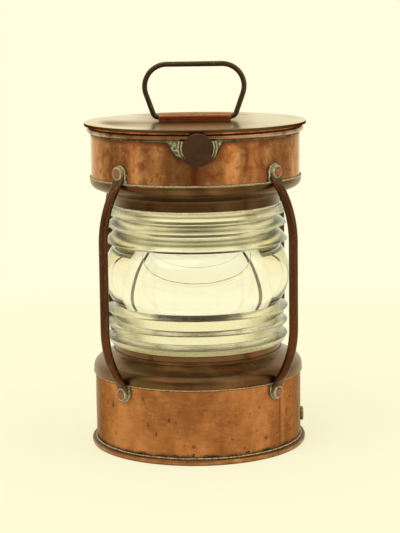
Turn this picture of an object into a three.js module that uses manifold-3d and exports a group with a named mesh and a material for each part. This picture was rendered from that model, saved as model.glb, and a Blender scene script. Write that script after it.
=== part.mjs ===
// A copper ship's anchor light with a ribbed glass lens, four guard rods, a hinged lid and a wire bail.
// Millimetres, +Z up. The origin is the middle of the underside, and the front, with the catch, faces -Y.

import * as THREE from 'three';
import { mergeVertices } from 'three/addons/utils/BufferGeometryUtils.js';
import Module from 'manifold-3d';

const wasm = await Module();
wasm.setup();

// Counts
const ringSegments = 40;
const smallSegments = 10;
const tubeSides = 8;

// Clearances and overruns
const seatGap = 0.15;
const fitGap = 0.3;
const cutOverrun = 4;
const weldDistance = 0.0001;

// Drums
const wallRadius = 95;
const wallSheet = 1;
const basePlateThickness = 1.2;
const footRingHeight = 5.4;
const footRingBulge = 3.9;
const footFlatWidth = 2.2;
const baseSkirtBottom = 67.1;
const topWallRise = 47.7;
const rimRingDrop = 8.1;
const rimRingHeight = 5.2;
const rimRingBulge = 3.15;

// Shoulders, from the skirt over a round bend and a slope to the neck
const shoulderSheet = 1;
const baseSkirtLength = 4.1;
const baseBendRadius = 9;
const baseSlope = THREE.MathUtils.degToRad(27);
const topSkirtLength = 2.6;
const topBendRadius = 8;
const topSlope = THREE.MathUtils.degToRad(22);
const neckFilletRadius = 2;
const neckEdge = 0.9;

// Lens collars and gaskets
const shoulderWidth = 18.6;
const collarRadius = wallRadius - shoulderWidth;
const collarSheet = 1;
const collarOverlap = 5;
const lowerCollarReveal = 5;
const upperCollarReveal = 7.3;
const spigotHeight = 5;
const gasketThickness = 1;
const gasketWidth = 6.5;

// Lens
const lensHeight = 126;
const lensBoreInset = 7.8;
const lensBoreRadius = collarRadius - lensBoreInset;
const beltTopRise = 27.4;
const beltBottomDrop = 27.2;
const beltCrown = 10;
const rootWalls = [6.6, 5, 4.6];
const upperRibWalls = [15.2, 14.3, 13.4];
const lowerRibWalls = [15.3, 15, 14.6];
const upperLedgeRises = [3.1, 3.6, 3.2];
const lowerLedgeRises = [3.9, 2.4, 2.3];
const upperRibShares = [0.402, 0.32, 0.278];
const lowerRibShares = [0.416, 0.346, 0.238];
const lensTopEdgeWall = 9.8;
const lensBottomEdgeWall = 11.6;

// Guard rods
const corners = ['front_right', 'rear_right', 'rear_left', 'front_left'];
const rodRadius = 4;
const rodBow = 22;
const rodBendRadius = 80;
const rodLean = THREE.MathUtils.degToRad(32);
const kinkRadius = 6;
const eyeThickness = 3.2;
const eyeRadius = 6.3;
const eyeNeckHalfWidth = 5.6;
const eyeStandOff = 0.8;
const eyeNeck = 4.6;
const rivetBelowSkirt = 8.1;
const rivetAboveSkirt = 9.2;
const eyeSquareness = 5;
const flattenShare = 0.85;

// Rivets
const rivetShankRadius = 2.4;
const rivetRoveRadius = 4.9;
const rivetRoveThickness = 0.8;
const rivetHeadRadius = 3.2;
const rivetHeadHeight = 1.7;
const rivetTailRadius = 3.9;
const rivetTailThickness = 1;

// Lid
const lidOverhang = 2.4;
const lidSheet = 1.2;
const lidRimDepth = 2.8;
const lidEdgeRound = 1.5;

// Bail and its keeper
const bailWireRadius = 2.4;
const bailHalfWidth = 45;
const bailHeight = 47.7;
const bailCornerRadius = 20;
const bailFootBend = 5;
const bailLegLean = THREE.MathUtils.degToRad(19.5);
const bailEndGap = 1.2;
const keeperSheet = 0.7;
const keeperBoreGap = 0.2;
const keeperLength = 65.4;
const keeperFlange = 2.2;

// Catch, on an axis through the front wall
const catchBelowRim = 5.6;
const catchFlangeRadius = 17;
const catchFlangeLead = 0.25;
const catchFlangeChamfer = 0.8;
const barrelRadius = 7.5;
const barrelBore = 5.5;
const barrelLength = 10;
const barrelEnd = 1.5;
const boltRadius = 2.5;
const boltCollarRadius = 5.2;
const boltCollarThickness = 1.5;
const boltNoseGap = 1;
const boltThreadLength = 3;
const knobRadius = 13.2;
const knobThickness = 4.6;
const knobChamfer = 0.7;
const knobStandOff = 1.5;
const springWireRadius = 0.4;
const springTurns = 4;
const springSides = 5;

// Tongue on the lid
const tongueWidth = 18;
const tongueThickness = 1.5;
const tongueInset = 2.4;
const tongueDrop = 7;
const tongueFoot = 10;
const tongueHoleRadius = 3.2;

// Hinge at the back
const hingeAxisOut = 3.9;
const hingeAxisDrop = 3.6;
const knuckleRadius = 3.1;
const hingePinRadius = 1.6;
const hingePinHeadRadius = 2.5;
const hingePinHead = 1.2;
const hingeHalfWidth = 13;
const hingeNotchSide = 2;
const middleKnuckle = 10;
const lidLeafLength = 22;
const leafThickness = 1.2;
const wallLeafDrop = 24;
const wallLeafBelowRim = 2.4;
const leafRivetSpacing = 16;
const leafRivetDrop = 15;
const leafRivetRadius = 1.5;
const leafRivetHeadRadius = 2.8;
const leafRivetHead = 1.2;

// Cable gland in the base wall
const glandHeight = 21.5;
const glandFlangeRadius = 6.4;
const glandFlangeThickness = 2.2;
const glandTubeRadius = 5.2;
const glandBore = 4;
const glandLength = 12;
const glandNutRadius = 8;
const glandNutThickness = 3.5;

// Lamp pillar and lampholder
const pillarFootRadius = 22;
const pillarFootThickness = 2;
const pillarRadius = 8;
const pillarBore = 5;
const pillarTop = 60;
const holderRadius = 15;
const holderWall = 1.2;
const holderHeight = 30;
const insulatorThickness = 13.7;

// Finishes read off the photograph
const finishes = {
  copper: { color: 0xb0703f, roughness: 0.32, metalness: 1 },
  patina: { color: 0x5a4029, roughness: 0.5, metalness: 0.9 },
  rod: { color: 0x5e3d28, roughness: 0.5, metalness: 0.9 },
  rivet: { color: 0x9a6a4c, roughness: 0.45, metalness: 0.9 },
  lid: { color: 0xa88d68, roughness: 0.22, metalness: 1 },
  bail: { color: 0x4c3a28, roughness: 0.45, metalness: 0.9 },
  knob: { color: 0x45301f, roughness: 0.55, metalness: 0.6 },
  brass: { color: 0x9c8350, roughness: 0.4, metalness: 1 },
  steel: { color: 0x8c8c8a, roughness: 0.35, metalness: 1 },
  glass: { color: 0xe6e8c0, roughness: 0.05, metalness: 0 },
  gasket: { color: 0x6b6452, roughness: 0.9, metalness: 0 },
  porcelain: { color: 0xe9e4d8, roughness: 0.3, metalness: 0 },
};

const light = new THREE.Group();

function add(name, geometry, finish, parent = light) {
  const mesh = new THREE.Mesh(geometry, new THREE.MeshStandardMaterial(finishes[finish]));
  mesh.name = name;
  parent.add(mesh);
  return mesh;
}

// Turns an outline of [radius, height] points round the upright axis, its outer side running upwards.
function turned(outline, segments = ringSegments) {
  const points = outline.map(([radius, height]) => new THREE.Vector2(radius, height));
  const geometry = new THREE.LatheGeometry(points, segments);
  geometry.rotateX(Math.PI / 2);
  return geometry;
}

// A ring: the same, with the outline closed on itself.
function ring(outline, segments = ringSegments) {
  return turned([...outline, outline[0]], segments);
}

// An outline turned upside down about a height, still in the same sense.
function mirrored(outline, height) {
  return outline.map(([radius, z]) => [radius, 2 * height - z]).reverse();
}

// Points of an arc in the plane of an outline, from one angle to another.
function arc([centreR, centreZ], radiusR, radiusZ, from, to, steps) {
  const points = [];
  for (let i = 0; i <= steps; i += 1) {
    const angle = from + ((to - from) * i) / steps;
    points.push([centreR + radiusR * Math.cos(angle), centreZ + radiusZ * Math.sin(angle)]);
  }
  return points;
}

// A plain round bar on the upright axis.
function bar(radius, bottom, top, segments = smallSegments) {
  return turned([[0, bottom], [radius, bottom], [radius, top], [0, top]], segments);
}

function block(minX, maxX, minY, maxY, minZ, maxZ) {
  const geometry = new THREE.BoxGeometry(maxX - minX, maxY - minY, maxZ - minZ);
  geometry.translate((minX + maxX) / 2, (minY + maxY) / 2, (minZ + maxZ) / 2);
  return geometry;
}

// Extrudes an outline of [y, z] points along X, from one end to the other.
function extruded(outline, minX, maxX, hole = null) {
  const shape = new THREE.Shape(outline.map(([y, z]) => new THREE.Vector2(y, z)));
  if (hole) {
    shape.holes.push(new THREE.Path(hole.map(([y, z]) => new THREE.Vector2(y, z))));
  }
  const geometry = new THREE.ExtrudeGeometry(shape, { depth: maxX - minX, bevelEnabled: false });
  geometry.applyMatrix4(new THREE.Matrix4().set(0, 0, 1, minX, 1, 0, 0, 0, 0, 1, 0, 0, 0, 0, 0, 1));
  return geometry;
}

// Skins a row of rings of points, closing both ends.
function skinned(rings) {
  const sides = rings[0].length;
  const indices = [];
  for (let i = 0; i + 1 < rings.length; i += 1) {
    for (let j = 0; j < sides; j += 1) {
      const a = i * sides + j;
      const b = i * sides + ((j + 1) % sides);
      indices.push(a, b, b + sides, a, b + sides, a + sides);
    }
  }
  const last = (rings.length - 1) * sides;
  for (let j = 1; j + 1 < sides; j += 1) {
    indices.push(0, j + 1, j, last, last + j, last + j + 1);
  }
  const geometry = new THREE.BufferGeometry().setFromPoints(rings.flat());
  geometry.setIndex(indices);
  geometry.computeVertexNormals();
  return geometry;
}

// A round tube through stations of { point, along }, across a side direction that stays the same.
function wire(stations, radius, side, sides = tubeSides) {
  const rings = stations.map(({ point, along }) => {
    const across = new THREE.Vector3().crossVectors(along, side).normalize();
    const level = new THREE.Vector3().crossVectors(across, along).normalize();
    return Array.from({ length: sides }, (_, i) => {
      const angle = (2 * Math.PI * (i + 0.5)) / sides;
      return point
        .clone()
        .addScaledVector(across, radius * Math.cos(angle))
        .addScaledVector(level, -radius * Math.sin(angle));
    });
  });
  return skinned(rings);
}

// The closed solid of a geometry, with its shared corners joined and its empty triangles left out.
function solidOf(geometry) {
  const bare = geometry.clone();
  bare.deleteAttribute('normal');
  bare.deleteAttribute('uv');
  const merged = mergeVertices(bare, weldDistance);
  const index = merged.index.array;
  const triVerts = [];
  for (let i = 0; i < index.length; i += 3) {
    const [a, b, c] = [index[i], index[i + 1], index[i + 2]];
    if (a !== b && b !== c && c !== a) {
      triVerts.push(a, b, c);
    }
  }
  const mesh = new wasm.Mesh({
    numProp: 3,
    vertProperties: merged.attributes.position.array,
    triVerts: new Uint32Array(triVerts),
  });
  return new wasm.Manifold(mesh);
}

function geometryOf(solid) {
  const mesh = solid.getMesh();
  const geometry = new THREE.BufferGeometry();
  geometry.setAttribute('position', new THREE.BufferAttribute(new Float32Array(mesh.vertProperties), 3));
  geometry.setIndex(Array.from(mesh.triVerts));
  geometry.computeVertexNormals();
  return geometry;
}

function cut(body, tools) {
  return geometryOf(tools.reduce((solid, tool) => solid.subtract(solidOf(tool)), solidOf(body)));
}

function joined(pieces) {
  const [first, ...rest] = pieces.map(solidOf);
  return geometryOf(rest.reduce((solid, piece) => solid.add(piece), first));
}

// Lays a piece that was made on the upright axis along the radius at an angle from the front, at a height.
function radial(geometry, azimuth, height) {
  const placed = geometry.clone();
  placed.rotateX(Math.PI / 2);
  placed.rotateZ(azimuth);
  placed.translate(0, 0, height);
  return placed;
}

// Values that several pieces share
const wallInside = wallRadius - wallSheet;
const skirtInside = wallRadius + seatGap;
const skirtRadius = skirtInside + shoulderSheet;
const neckInside = collarRadius + seatGap;
const neckRadius = neckInside + shoulderSheet;
const rodReach = wallRadius + rodBow;
const rimRingOutside = wallRadius + seatGap + rimRingBulge;
const catchFlangeThickness = rimRingOutside + catchFlangeLead - wallRadius;
const lidRadius = rimRingOutside + lidOverhang;
const rodAzimuths = corners.map((_, i) => (2 * Math.PI * (i + 0.5)) / corners.length);
const eyeCentreRadius = wallRadius + eyeStandOff + eyeThickness / 2;
const front = 0;
const right = Math.PI / 2;
const back = Math.PI;

// Outline of a shoulder that stands up from its skirt's lower edge at the height given
function shoulderOutline(bottom, skirtLength, bendRadius, slope) {
  const bendZ = bottom + skirtLength;
  const bendCentre = [skirtRadius - bendRadius, bendZ];
  const bendInner = bendRadius - shoulderSheet;
  const slopeStart = [
    bendCentre[0] + bendRadius * Math.sin(slope),
    bendCentre[1] + bendRadius * Math.cos(slope),
  ];
  const neckZ = slopeStart[1] + (slopeStart[0] - neckRadius) * Math.tan(slope);
  const filletReach = neckFilletRadius * Math.tan((Math.PI / 2 - slope) / 2);
  const filletStart = [
    neckRadius + filletReach * Math.cos(slope),
    neckZ - filletReach * Math.sin(slope),
  ];
  const neckTop = neckZ + filletReach + neckEdge;
  const innerNeckZ = neckZ - shoulderSheet / Math.cos(slope) - shoulderSheet * Math.tan(slope);
  return [
    [skirtInside, bottom],
    [skirtRadius, bottom],
    ...arc(bendCentre, bendRadius, bendRadius, 0, Math.PI / 2 - slope, 3),
    filletStart,
    [neckRadius, neckTop - neckEdge],
    [neckRadius, neckTop],
    [neckInside, neckTop],
    [neckInside, innerNeckZ],
    ...arc(bendCentre, bendInner, bendInner, Math.PI / 2 - slope, 0, 2),
  ];
}

// Heights, from the base up: neck, lens, neck, top drum, lid
const baseShoulder = shoulderOutline(baseSkirtBottom, baseSkirtLength, baseBendRadius, baseSlope);
const baseNeckTop = Math.max(...baseShoulder.map(([, z]) => z));
const lowerSeat = baseNeckTop + lowerCollarReveal;
const lensBottom = lowerSeat + 2 * seatGap + gasketThickness;
const lensTop = lensBottom + lensHeight;
const lensMiddle = lensBottom + lensHeight / 2;
const upperSeat = lensTop + 2 * seatGap + gasketThickness;
const topNeckBottom = upperSeat + upperCollarReveal;
const topShoulderUpright = shoulderOutline(0, topSkirtLength, topBendRadius, topSlope);
const topSkirtTop = topNeckBottom + Math.max(...topShoulderUpright.map(([, z]) => z));
const topWallTop = topSkirtTop + topWallRise;
const rimRingBottom = topWallTop - rimRingDrop;
const catchHeight = rimRingBottom - catchBelowRim;
const lidUnder = topWallTop + fitGap;
const lidTop = lidUnder + lidSheet;
const rivetHeights = [baseSkirtBottom - rivetBelowSkirt, topSkirtTop + rivetAboveSkirt];
const rodMiddle = (rivetHeights[0] + rivetHeights[1]) / 2;
const eyeRivetOffset = rivetHeights[1] - rodMiddle;

// The drum's outside with its gap, which shapes the back of what sits on it at about the height given
function drumCutter(height) {
  return bar(wallRadius + seatGap, height - wallRadius, height + wallRadius, ringSegments);
}

// How far out a flat face of the half width given may stand inside the drum's wall
function seatInside(halfWidth) {
  const flatRadius = wallInside * Math.cos(Math.PI / ringSegments);
  return Math.sqrt(flatRadius ** 2 - halfWidth ** 2) - seatGap;
}

// Radial tools that cut the rivet holes of the guard rods
function rivetHoles(height) {
  const hole = bar(rivetShankRadius + fitGap, wallRadius - cutOverrun, wallRadius + cutOverrun * 2);
  return rodAzimuths.map((azimuth) => radial(hole, azimuth, height));
}

// A ring with a flat inside and a round outside, with an optional flat along its lower edge
function halfRound(inside, bulge, bottom, height, flat) {
  const middle = bottom + height / 2;
  return ring([
    [inside, bottom],
    ...arc([inside + flat, middle], bulge - flat, height / 2, -Math.PI / 2, Math.PI / 2, 4),
    [inside, bottom + height],
  ]);
}

// Base drum
const baseSkirtTop = baseSkirtBottom + baseSkirtLength;
add('base_plate', bar(wallRadius, 0, basePlateThickness, ringSegments), 'copper');

const baseWall = ring([
  [wallInside, basePlateThickness + seatGap],
  [wallRadius, basePlateThickness + seatGap],
  [wallRadius, baseSkirtTop],
  [wallInside, baseSkirtTop],
]);
const glandHole = radial(
  bar(glandTubeRadius + fitGap, wallInside - cutOverrun, wallRadius + cutOverrun),
  right,
  glandHeight,
);
add('base_wall', cut(baseWall, [...rivetHoles(rivetHeights[0]), glandHole]), 'copper');

add('foot_ring', halfRound(wallRadius + seatGap, footRingBulge, 0, footRingHeight, footFlatWidth), 'rivet');

add('base_shoulder', ring(baseShoulder), 'patina');

// Top drum, whose shoulder hangs down from its skirt's upper edge
const topSkirtBottom = topSkirtTop - topSkirtLength;
const topWall = ring([
  [wallInside, topSkirtBottom],
  [wallRadius, topSkirtBottom],
  [wallRadius, topWallTop],
  [wallInside, topWallTop],
]);
const boltHole = radial(
  bar(boltRadius + fitGap, wallInside - cutOverrun, wallRadius + cutOverrun),
  front,
  catchHeight,
);
const hingeNotch = block(
  -hingeHalfWidth - hingeNotchSide,
  hingeHalfWidth + hingeNotchSide,
  wallInside - cutOverrun,
  wallRadius + cutOverrun,
  lidUnder - leafThickness - 3 * seatGap,
  topWallTop + cutOverrun,
);
const leafRivetX = [-leafRivetSpacing / 2, leafRivetSpacing / 2];
const wallLeafTop = rimRingBottom - wallLeafBelowRim;
const leafRivetHeight = wallLeafTop - leafRivetDrop;
const leafRivetHoles = leafRivetX.map((x) => {
  const hole = radial(
    bar(leafRivetRadius + fitGap, wallInside - cutOverrun, wallRadius + cutOverrun),
    back,
    leafRivetHeight,
  );
  hole.translate(x, 0, 0);
  return hole;
});
add(
  'top_wall',
  cut(topWall, [...rivetHoles(rivetHeights[1]), boltHole, hingeNotch, ...leafRivetHoles]),
  'copper',
);

add('top_rim_ring', halfRound(wallRadius + seatGap, rimRingBulge, rimRingBottom, rimRingHeight, 0), 'copper');

const topShoulder = mirrored(topShoulderUpright, topSkirtTop / 2);
add('top_shoulder', ring(topShoulder), 'patina');

// Collars that hold the lens, standing in the necks of the shoulders
function collarOutline(seat, neckTop) {
  const foot = neckTop - collarOverlap;
  const spigotInside = lensBoreRadius - fitGap - collarSheet;
  return [
    [collarRadius - collarSheet, foot],
    [collarRadius, foot],
    [collarRadius, seat],
    [spigotInside + collarSheet, seat],
    [spigotInside + collarSheet, seat + spigotHeight],
    [spigotInside, seat + spigotHeight],
    [spigotInside, seat - collarSheet],
    [collarRadius - collarSheet, seat - collarSheet],
  ];
}

add('lower_lens_collar', ring(collarOutline(lowerSeat, baseNeckTop)), 'patina');
const upperCollar = mirrored(collarOutline(upperSeat, 2 * upperSeat - topNeckBottom), upperSeat);
add('upper_lens_collar', ring(upperCollar), 'patina');

function gasketOutline(bottom) {
  const outside = collarRadius - seatGap;
  return [
    [outside - gasketWidth, bottom],
    [outside, bottom],
    [outside, bottom + gasketThickness],
    [outside - gasketWidth, bottom + gasketThickness],
  ];
}

const gasketSegments = ringSegments / 2;
add('lower_lens_gasket', ring(gasketOutline(lowerSeat + seatGap), gasketSegments), 'gasket');
add('upper_lens_gasket', ring(gasketOutline(lensTop + seatGap), gasketSegments), 'gasket');

// Lens: a bulging clear belt between ribs whose sloped ledges face it. A rib's points are
// [radius, distance from the middle], from the belt outwards: the ledge's tip, then the next root.
function ribs(walls, rises, shares, start, edgeWall) {
  const zone = lensHeight / 2 - start;
  const points = [];
  let from = start;
  walls.forEach((wall, i) => {
    const to = from + zone * shares[i];
    const outermost = i + 1 === walls.length;
    points.push([lensBoreRadius + wall, from + rises[i]]);
    points.push([lensBoreRadius + (outermost ? edgeWall : rootWalls[i + 1]), to]);
    from = to;
  });
  return points;
}

const upperRibs = ribs(upperRibWalls, upperLedgeRises, upperRibShares, beltTopRise, lensTopEdgeWall)
  .map(([r, d]) => [r, lensMiddle + d]);
const lowerRibs = ribs(lowerRibWalls, lowerLedgeRises, lowerRibShares, beltBottomDrop, lensBottomEdgeWall)
  .map(([r, d]) => [r, lensMiddle - d])
  .reverse();
const beltEdgeRadius = lensBoreRadius + rootWalls[0];
const beltMiddle = lensMiddle + (beltTopRise - beltBottomDrop) / 2;
const beltHalf = (beltTopRise + beltBottomDrop) / 2;
const beltCurve = (beltHalf ** 2 + beltCrown ** 2) / (2 * beltCrown);
const beltReach = Math.asin(beltHalf / beltCurve);
const beltCentre = [beltEdgeRadius + beltCrown - beltCurve, beltMiddle];
const belt = arc(beltCentre, beltCurve, beltCurve, -beltReach, beltReach, 8);
add(
  'lens',
  ring([[lensBoreRadius, lensBottom], ...lowerRibs, ...belt, ...upperRibs, [lensBoreRadius, lensTop]]),
  'glass',
);

// Guard rods. A station is { height above the middle, radius, lean, half width, half thickness, squareness }.
function rodStations() {
  const bendEndRadius = rodReach - rodBendRadius * (1 - Math.cos(rodLean));
  const kinkStart = eyeCentreRadius + kinkRadius * (1 - Math.cos(rodLean));
  const leanLength = (bendEndRadius - kinkStart) / Math.sin(rodLean);
  const kinkHeight = eyeRivetOffset - eyeNeck - kinkRadius * Math.sin(rodLean);
  const bendEndHeight = kinkHeight - leanLength * Math.cos(rodLean);
  const rodStraightHalf = bendEndHeight - rodBendRadius * Math.sin(rodLean);
  const flatHalf = eyeThickness / 2;
  const round = { half: rodRadius, thick: rodRadius, square: 2 };
  const stations = [{ height: rodStraightHalf, radius: rodReach, lean: 0, ...round }];
  const bendSteps = 4;
  for (let i = 1; i <= bendSteps; i += 1) {
    const lean = (rodLean * i) / bendSteps;
    stations.push({
      height: rodStraightHalf + rodBendRadius * Math.sin(lean),
      radius: rodReach - rodBendRadius * (1 - Math.cos(lean)),
      lean,
      ...round,
    });
  }
  for (const share of [flattenShare / 2, flattenShare]) {
    const done = share / flattenShare;
    stations.push({
      height: bendEndHeight + leanLength * share * Math.cos(rodLean),
      radius: bendEndRadius - leanLength * share * Math.sin(rodLean),
      lean: rodLean,
      half: THREE.MathUtils.lerp(rodRadius, eyeNeckHalfWidth, done ** 2),
      thick: THREE.MathUtils.lerp(rodRadius, flatHalf, done),
      square: THREE.MathUtils.lerp(2, eyeSquareness, done),
    });
  }
  for (const share of [0, 1 / 2, 1]) {
    const lean = rodLean * (1 - share);
    stations.push({
      height: kinkHeight + kinkRadius * (Math.sin(rodLean) - Math.sin(lean)),
      radius: eyeCentreRadius + kinkRadius * (1 - Math.cos(lean)),
      lean,
      half: eyeNeckHalfWidth,
      thick: flatHalf,
      square: eyeSquareness,
    });
  }
  for (const turn of [0, Math.PI / 6, Math.PI / 3, Math.PI * (4 / 9)]) {
    stations.push({
      height: eyeRivetOffset + eyeRadius * Math.sin(turn),
      radius: eyeCentreRadius,
      lean: 0,
      half: eyeRadius * Math.cos(turn),
      thick: flatHalf,
      square: eyeSquareness,
    });
  }
  return stations;
}

function rodRing({ height, radius, lean, half, thick, square }) {
  return Array.from({ length: tubeSides }, (_, i) => {
    const angle = (2 * Math.PI * (i + 0.5)) / tubeSides;
    const across = half * Math.sign(Math.cos(angle)) * Math.abs(Math.cos(angle)) ** (2 / square);
    const outward = thick * Math.sign(Math.sin(angle)) * Math.abs(Math.sin(angle)) ** (2 / square);
    const away = radius + outward * Math.cos(lean);
    return new THREE.Vector3(-across, -away, rodMiddle + height + outward * Math.sin(lean));
  });
}

const upperStations = rodStations();
const lowerStations = upperStations.map((s) => ({ ...s, height: -s.height, lean: -s.lean })).reverse();
const rodBody = skinned([...lowerStations, ...upperStations].map(rodRing));
const eyeHoles = rivetHeights.map((height) => {
  const hole = bar(rivetShankRadius + fitGap, eyeCentreRadius - eyeThickness, eyeCentreRadius + eyeThickness);
  return radial(hole, front, height);
});
const rodGeometry = cut(rodBody, eyeHoles);

// Rivets, made on the upright axis with the head up and laid along the radius
const eyeOutside = eyeCentreRadius + eyeThickness / 2;
const rivetTailFace = seatInside(rivetTailRadius);
const rivetGeometry = turned(
  [
    [0, rivetTailFace - rivetTailThickness],
    [rivetTailRadius, rivetTailFace - rivetTailThickness],
    [rivetTailRadius, rivetTailFace],
    [rivetShankRadius, rivetTailFace],
    [rivetShankRadius, eyeOutside + fitGap],
    [rivetRoveRadius, eyeOutside + fitGap],
    [rivetRoveRadius - rivetRoveThickness / 2, eyeOutside + fitGap + rivetRoveThickness],
    [rivetHeadRadius, eyeOutside + fitGap + rivetRoveThickness],
    [rivetHeadRadius * Math.cos(Math.PI / 4), eyeOutside + fitGap + rivetHeadHeight],
    [0, eyeOutside + fitGap + rivetHeadHeight + rivetHeadRadius * (1 - Math.cos(Math.PI / 4))],
  ],
  smallSegments,
);
rodAzimuths.forEach((azimuth, i) => {
  const corner = new THREE.Group();
  corner.rotation.z = azimuth;
  light.add(corner);
  add(`guard_rod_${corners[i]}`, rodGeometry, 'rod', corner);
  ['lower', 'upper'].forEach((level, j) => {
    add(`rivet_${level}_${corners[i]}`, radial(rivetGeometry, front, rivetHeights[j]), 'rivet', corner);
  });
});

// Lid, with its turned-down edge cut away for the hinge
const lidOutline = [
  [0, lidUnder],
  [lidRadius - lidSheet - lidEdgeRound / 2, lidUnder],
  [lidRadius - lidSheet, lidUnder - lidEdgeRound / 2],
  [lidRadius - lidSheet, lidTop - lidRimDepth],
  [lidRadius, lidTop - lidRimDepth],
  ...arc([lidRadius - lidEdgeRound, lidTop - lidEdgeRound], lidEdgeRound, lidEdgeRound, 0, Math.PI / 2, 2),
  [0, lidTop],
];
const lidNotch = block(
  -hingeHalfWidth - fitGap,
  hingeHalfWidth + fitGap,
  lidRadius - cutOverrun,
  lidRadius + cutOverrun,
  lidTop - lidRimDepth - cutOverrun,
  lidUnder,
);
add('lid', cut(turned(lidOutline), [lidNotch]), 'lid');

// Tongue that hangs from the lid behind the catch
const tongueFront = -(wallInside - tongueInset);
const tongueTop = lidUnder - seatGap;
const tongueBody = extruded(
  [
    [tongueFront, catchHeight - tongueDrop],
    [tongueFront + tongueThickness, catchHeight - tongueDrop],
    [tongueFront + tongueThickness, tongueTop - tongueThickness],
    [tongueFront + tongueFoot, tongueTop - tongueThickness],
    [tongueFront + tongueFoot, tongueTop],
    [tongueFront, tongueTop],
  ],
  -tongueWidth / 2,
  tongueWidth / 2,
);
const tongueHole = radial(
  bar(tongueHoleRadius, -tongueFront - cutOverrun, -tongueFront + cutOverrun),
  front,
  catchHeight,
);
add('lid_tongue', cut(tongueBody, [tongueHole]), 'brass');

// Keeper: sheet rolled round the bail's lower bar, with a flange along each side
const keeperBore = bailWireRadius + keeperBoreGap;
const keeperOutside = keeperBore + keeperSheet;
const keeperBottom = lidTop + seatGap;
const bailAxis = keeperBottom + keeperOutside;
const flangeAngle = Math.asin((keeperOutside - keeperSheet) / keeperOutside);
const keeperEdge = keeperOutside * Math.cos(flangeAngle) + keeperFlange;
const keeperBoreCircle = arc([0, bailAxis], keeperBore, keeperBore, 0, 2 * Math.PI * (11 / 12), 11);
add(
  'bail_keeper',
  extruded(
    [
      [-keeperEdge, keeperBottom],
      [keeperEdge, keeperBottom],
      [keeperEdge, keeperBottom + keeperSheet],
      ...arc([0, bailAxis], keeperOutside, keeperOutside, -flangeAngle, Math.PI + flangeAngle, 10),
      [-keeperEdge, keeperBottom + keeperSheet],
    ],
    -keeperLength / 2,
    keeperLength / 2,
    keeperBoreCircle,
  ),
  'copper',
);

// Bail: from the end inside the keeper out to the foot bend, up the leg, round the corner and back
function bailHalf() {
  const cornerX = bailHalfWidth - bailCornerRadius;
  const cornerZ = bailAxis + bailHeight - bailCornerRadius;
  const legTop = [
    cornerX + bailCornerRadius * Math.cos(bailLegLean),
    cornerZ - bailCornerRadius * Math.sin(bailLegLean),
  ];
  const meetX = legTop[0] - (legTop[1] - bailAxis) * Math.tan(bailLegLean);
  const footTurn = Math.PI / 2 - bailLegLean;
  const footX = meetX - bailFootBend * Math.tan(footTurn / 2);
  const stations = [{ x: bailEndGap / 2, z: bailAxis, heading: 0 }];
  const footSteps = 3;
  for (let i = 0; i <= footSteps; i += 1) {
    const heading = (footTurn * i) / footSteps;
    stations.push({
      x: footX + bailFootBend * Math.sin(heading),
      z: bailAxis + bailFootBend * (1 - Math.cos(heading)),
      heading,
    });
  }
  const cornerSteps = 7;
  for (let i = 0; i <= cornerSteps; i += 1) {
    const heading = footTurn + ((Math.PI - footTurn) * i) / cornerSteps;
    stations.push({
      x: cornerX + bailCornerRadius * Math.sin(heading),
      z: cornerZ - bailCornerRadius * Math.cos(heading),
      heading,
    });
  }
  return stations;
}

const bailRight = bailHalf();
const bailLeft = bailRight.map(({ x, z, heading }) => ({ x: -x, z, heading: -heading })).reverse();
const bailStations = [...bailRight, ...bailLeft].map(({ x, z, heading }) => ({
  point: new THREE.Vector3(x, 0, z),
  along: new THREE.Vector3(Math.cos(heading), 0, Math.sin(heading)),
}));
add('bail', wire(bailStations, bailWireRadius, new THREE.Vector3(0, 1, 0)), 'bail');

// Catch, made on the upright axis at its distance from the light's axis, then laid along the front radius
const flangeFace = wallRadius + catchFlangeThickness;
const barrelStart = flangeFace + seatGap;
const barrelFace = barrelStart + barrelLength;
const knobBack = barrelFace + knobStandOff;
const collarBack = wallRadius + fitGap;
const collarFace = collarBack + boltCollarThickness;
const flangeBlank = ring(
  [
    [barrelBore, wallRadius - cutOverrun],
    [catchFlangeRadius, wallRadius - cutOverrun],
    [catchFlangeRadius, flangeFace - catchFlangeChamfer],
    [catchFlangeRadius - catchFlangeChamfer, flangeFace],
    [barrelBore, flangeFace],
  ],
  2 * smallSegments,
);
const wallCutter = drumCutter(catchHeight);
const rimCutter = block(
  -wallRadius,
  wallRadius,
  -wallRadius - wallRadius,
  0,
  rimRingBottom - seatGap,
  rimRingBottom + wallRadius,
);
add('catch_flange', cut(radial(flangeBlank, front, catchHeight), [wallCutter, rimCutter]), 'patina');

const barrelGeometry = turned(
  [
    [boltRadius + fitGap, barrelFace - barrelEnd],
    [barrelBore, barrelFace - barrelEnd],
    [barrelBore, barrelStart],
    [barrelRadius, barrelStart],
    [barrelRadius, barrelFace],
    [boltRadius + fitGap, barrelFace],
    [boltRadius + fitGap, barrelFace - barrelEnd],
  ],
  smallSegments,
);
add('catch_barrel', radial(barrelGeometry, front, catchHeight), 'patina');

const boltNose = -tongueFront + boltNoseGap;
const boltGeometry = turned(
  [
    [0, boltNose],
    [boltRadius / 2, boltNose],
    [boltRadius, boltNose + boltRadius / 2],
    [boltRadius, collarBack],
    [boltCollarRadius, collarBack],
    [boltCollarRadius, collarFace],
    [boltRadius, collarFace],
    [boltRadius, knobBack + boltThreadLength - seatGap],
    [0, knobBack + boltThreadLength - seatGap],
  ],
  smallSegments,
);
add('catch_bolt', radial(boltGeometry, front, catchHeight), 'steel');

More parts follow.
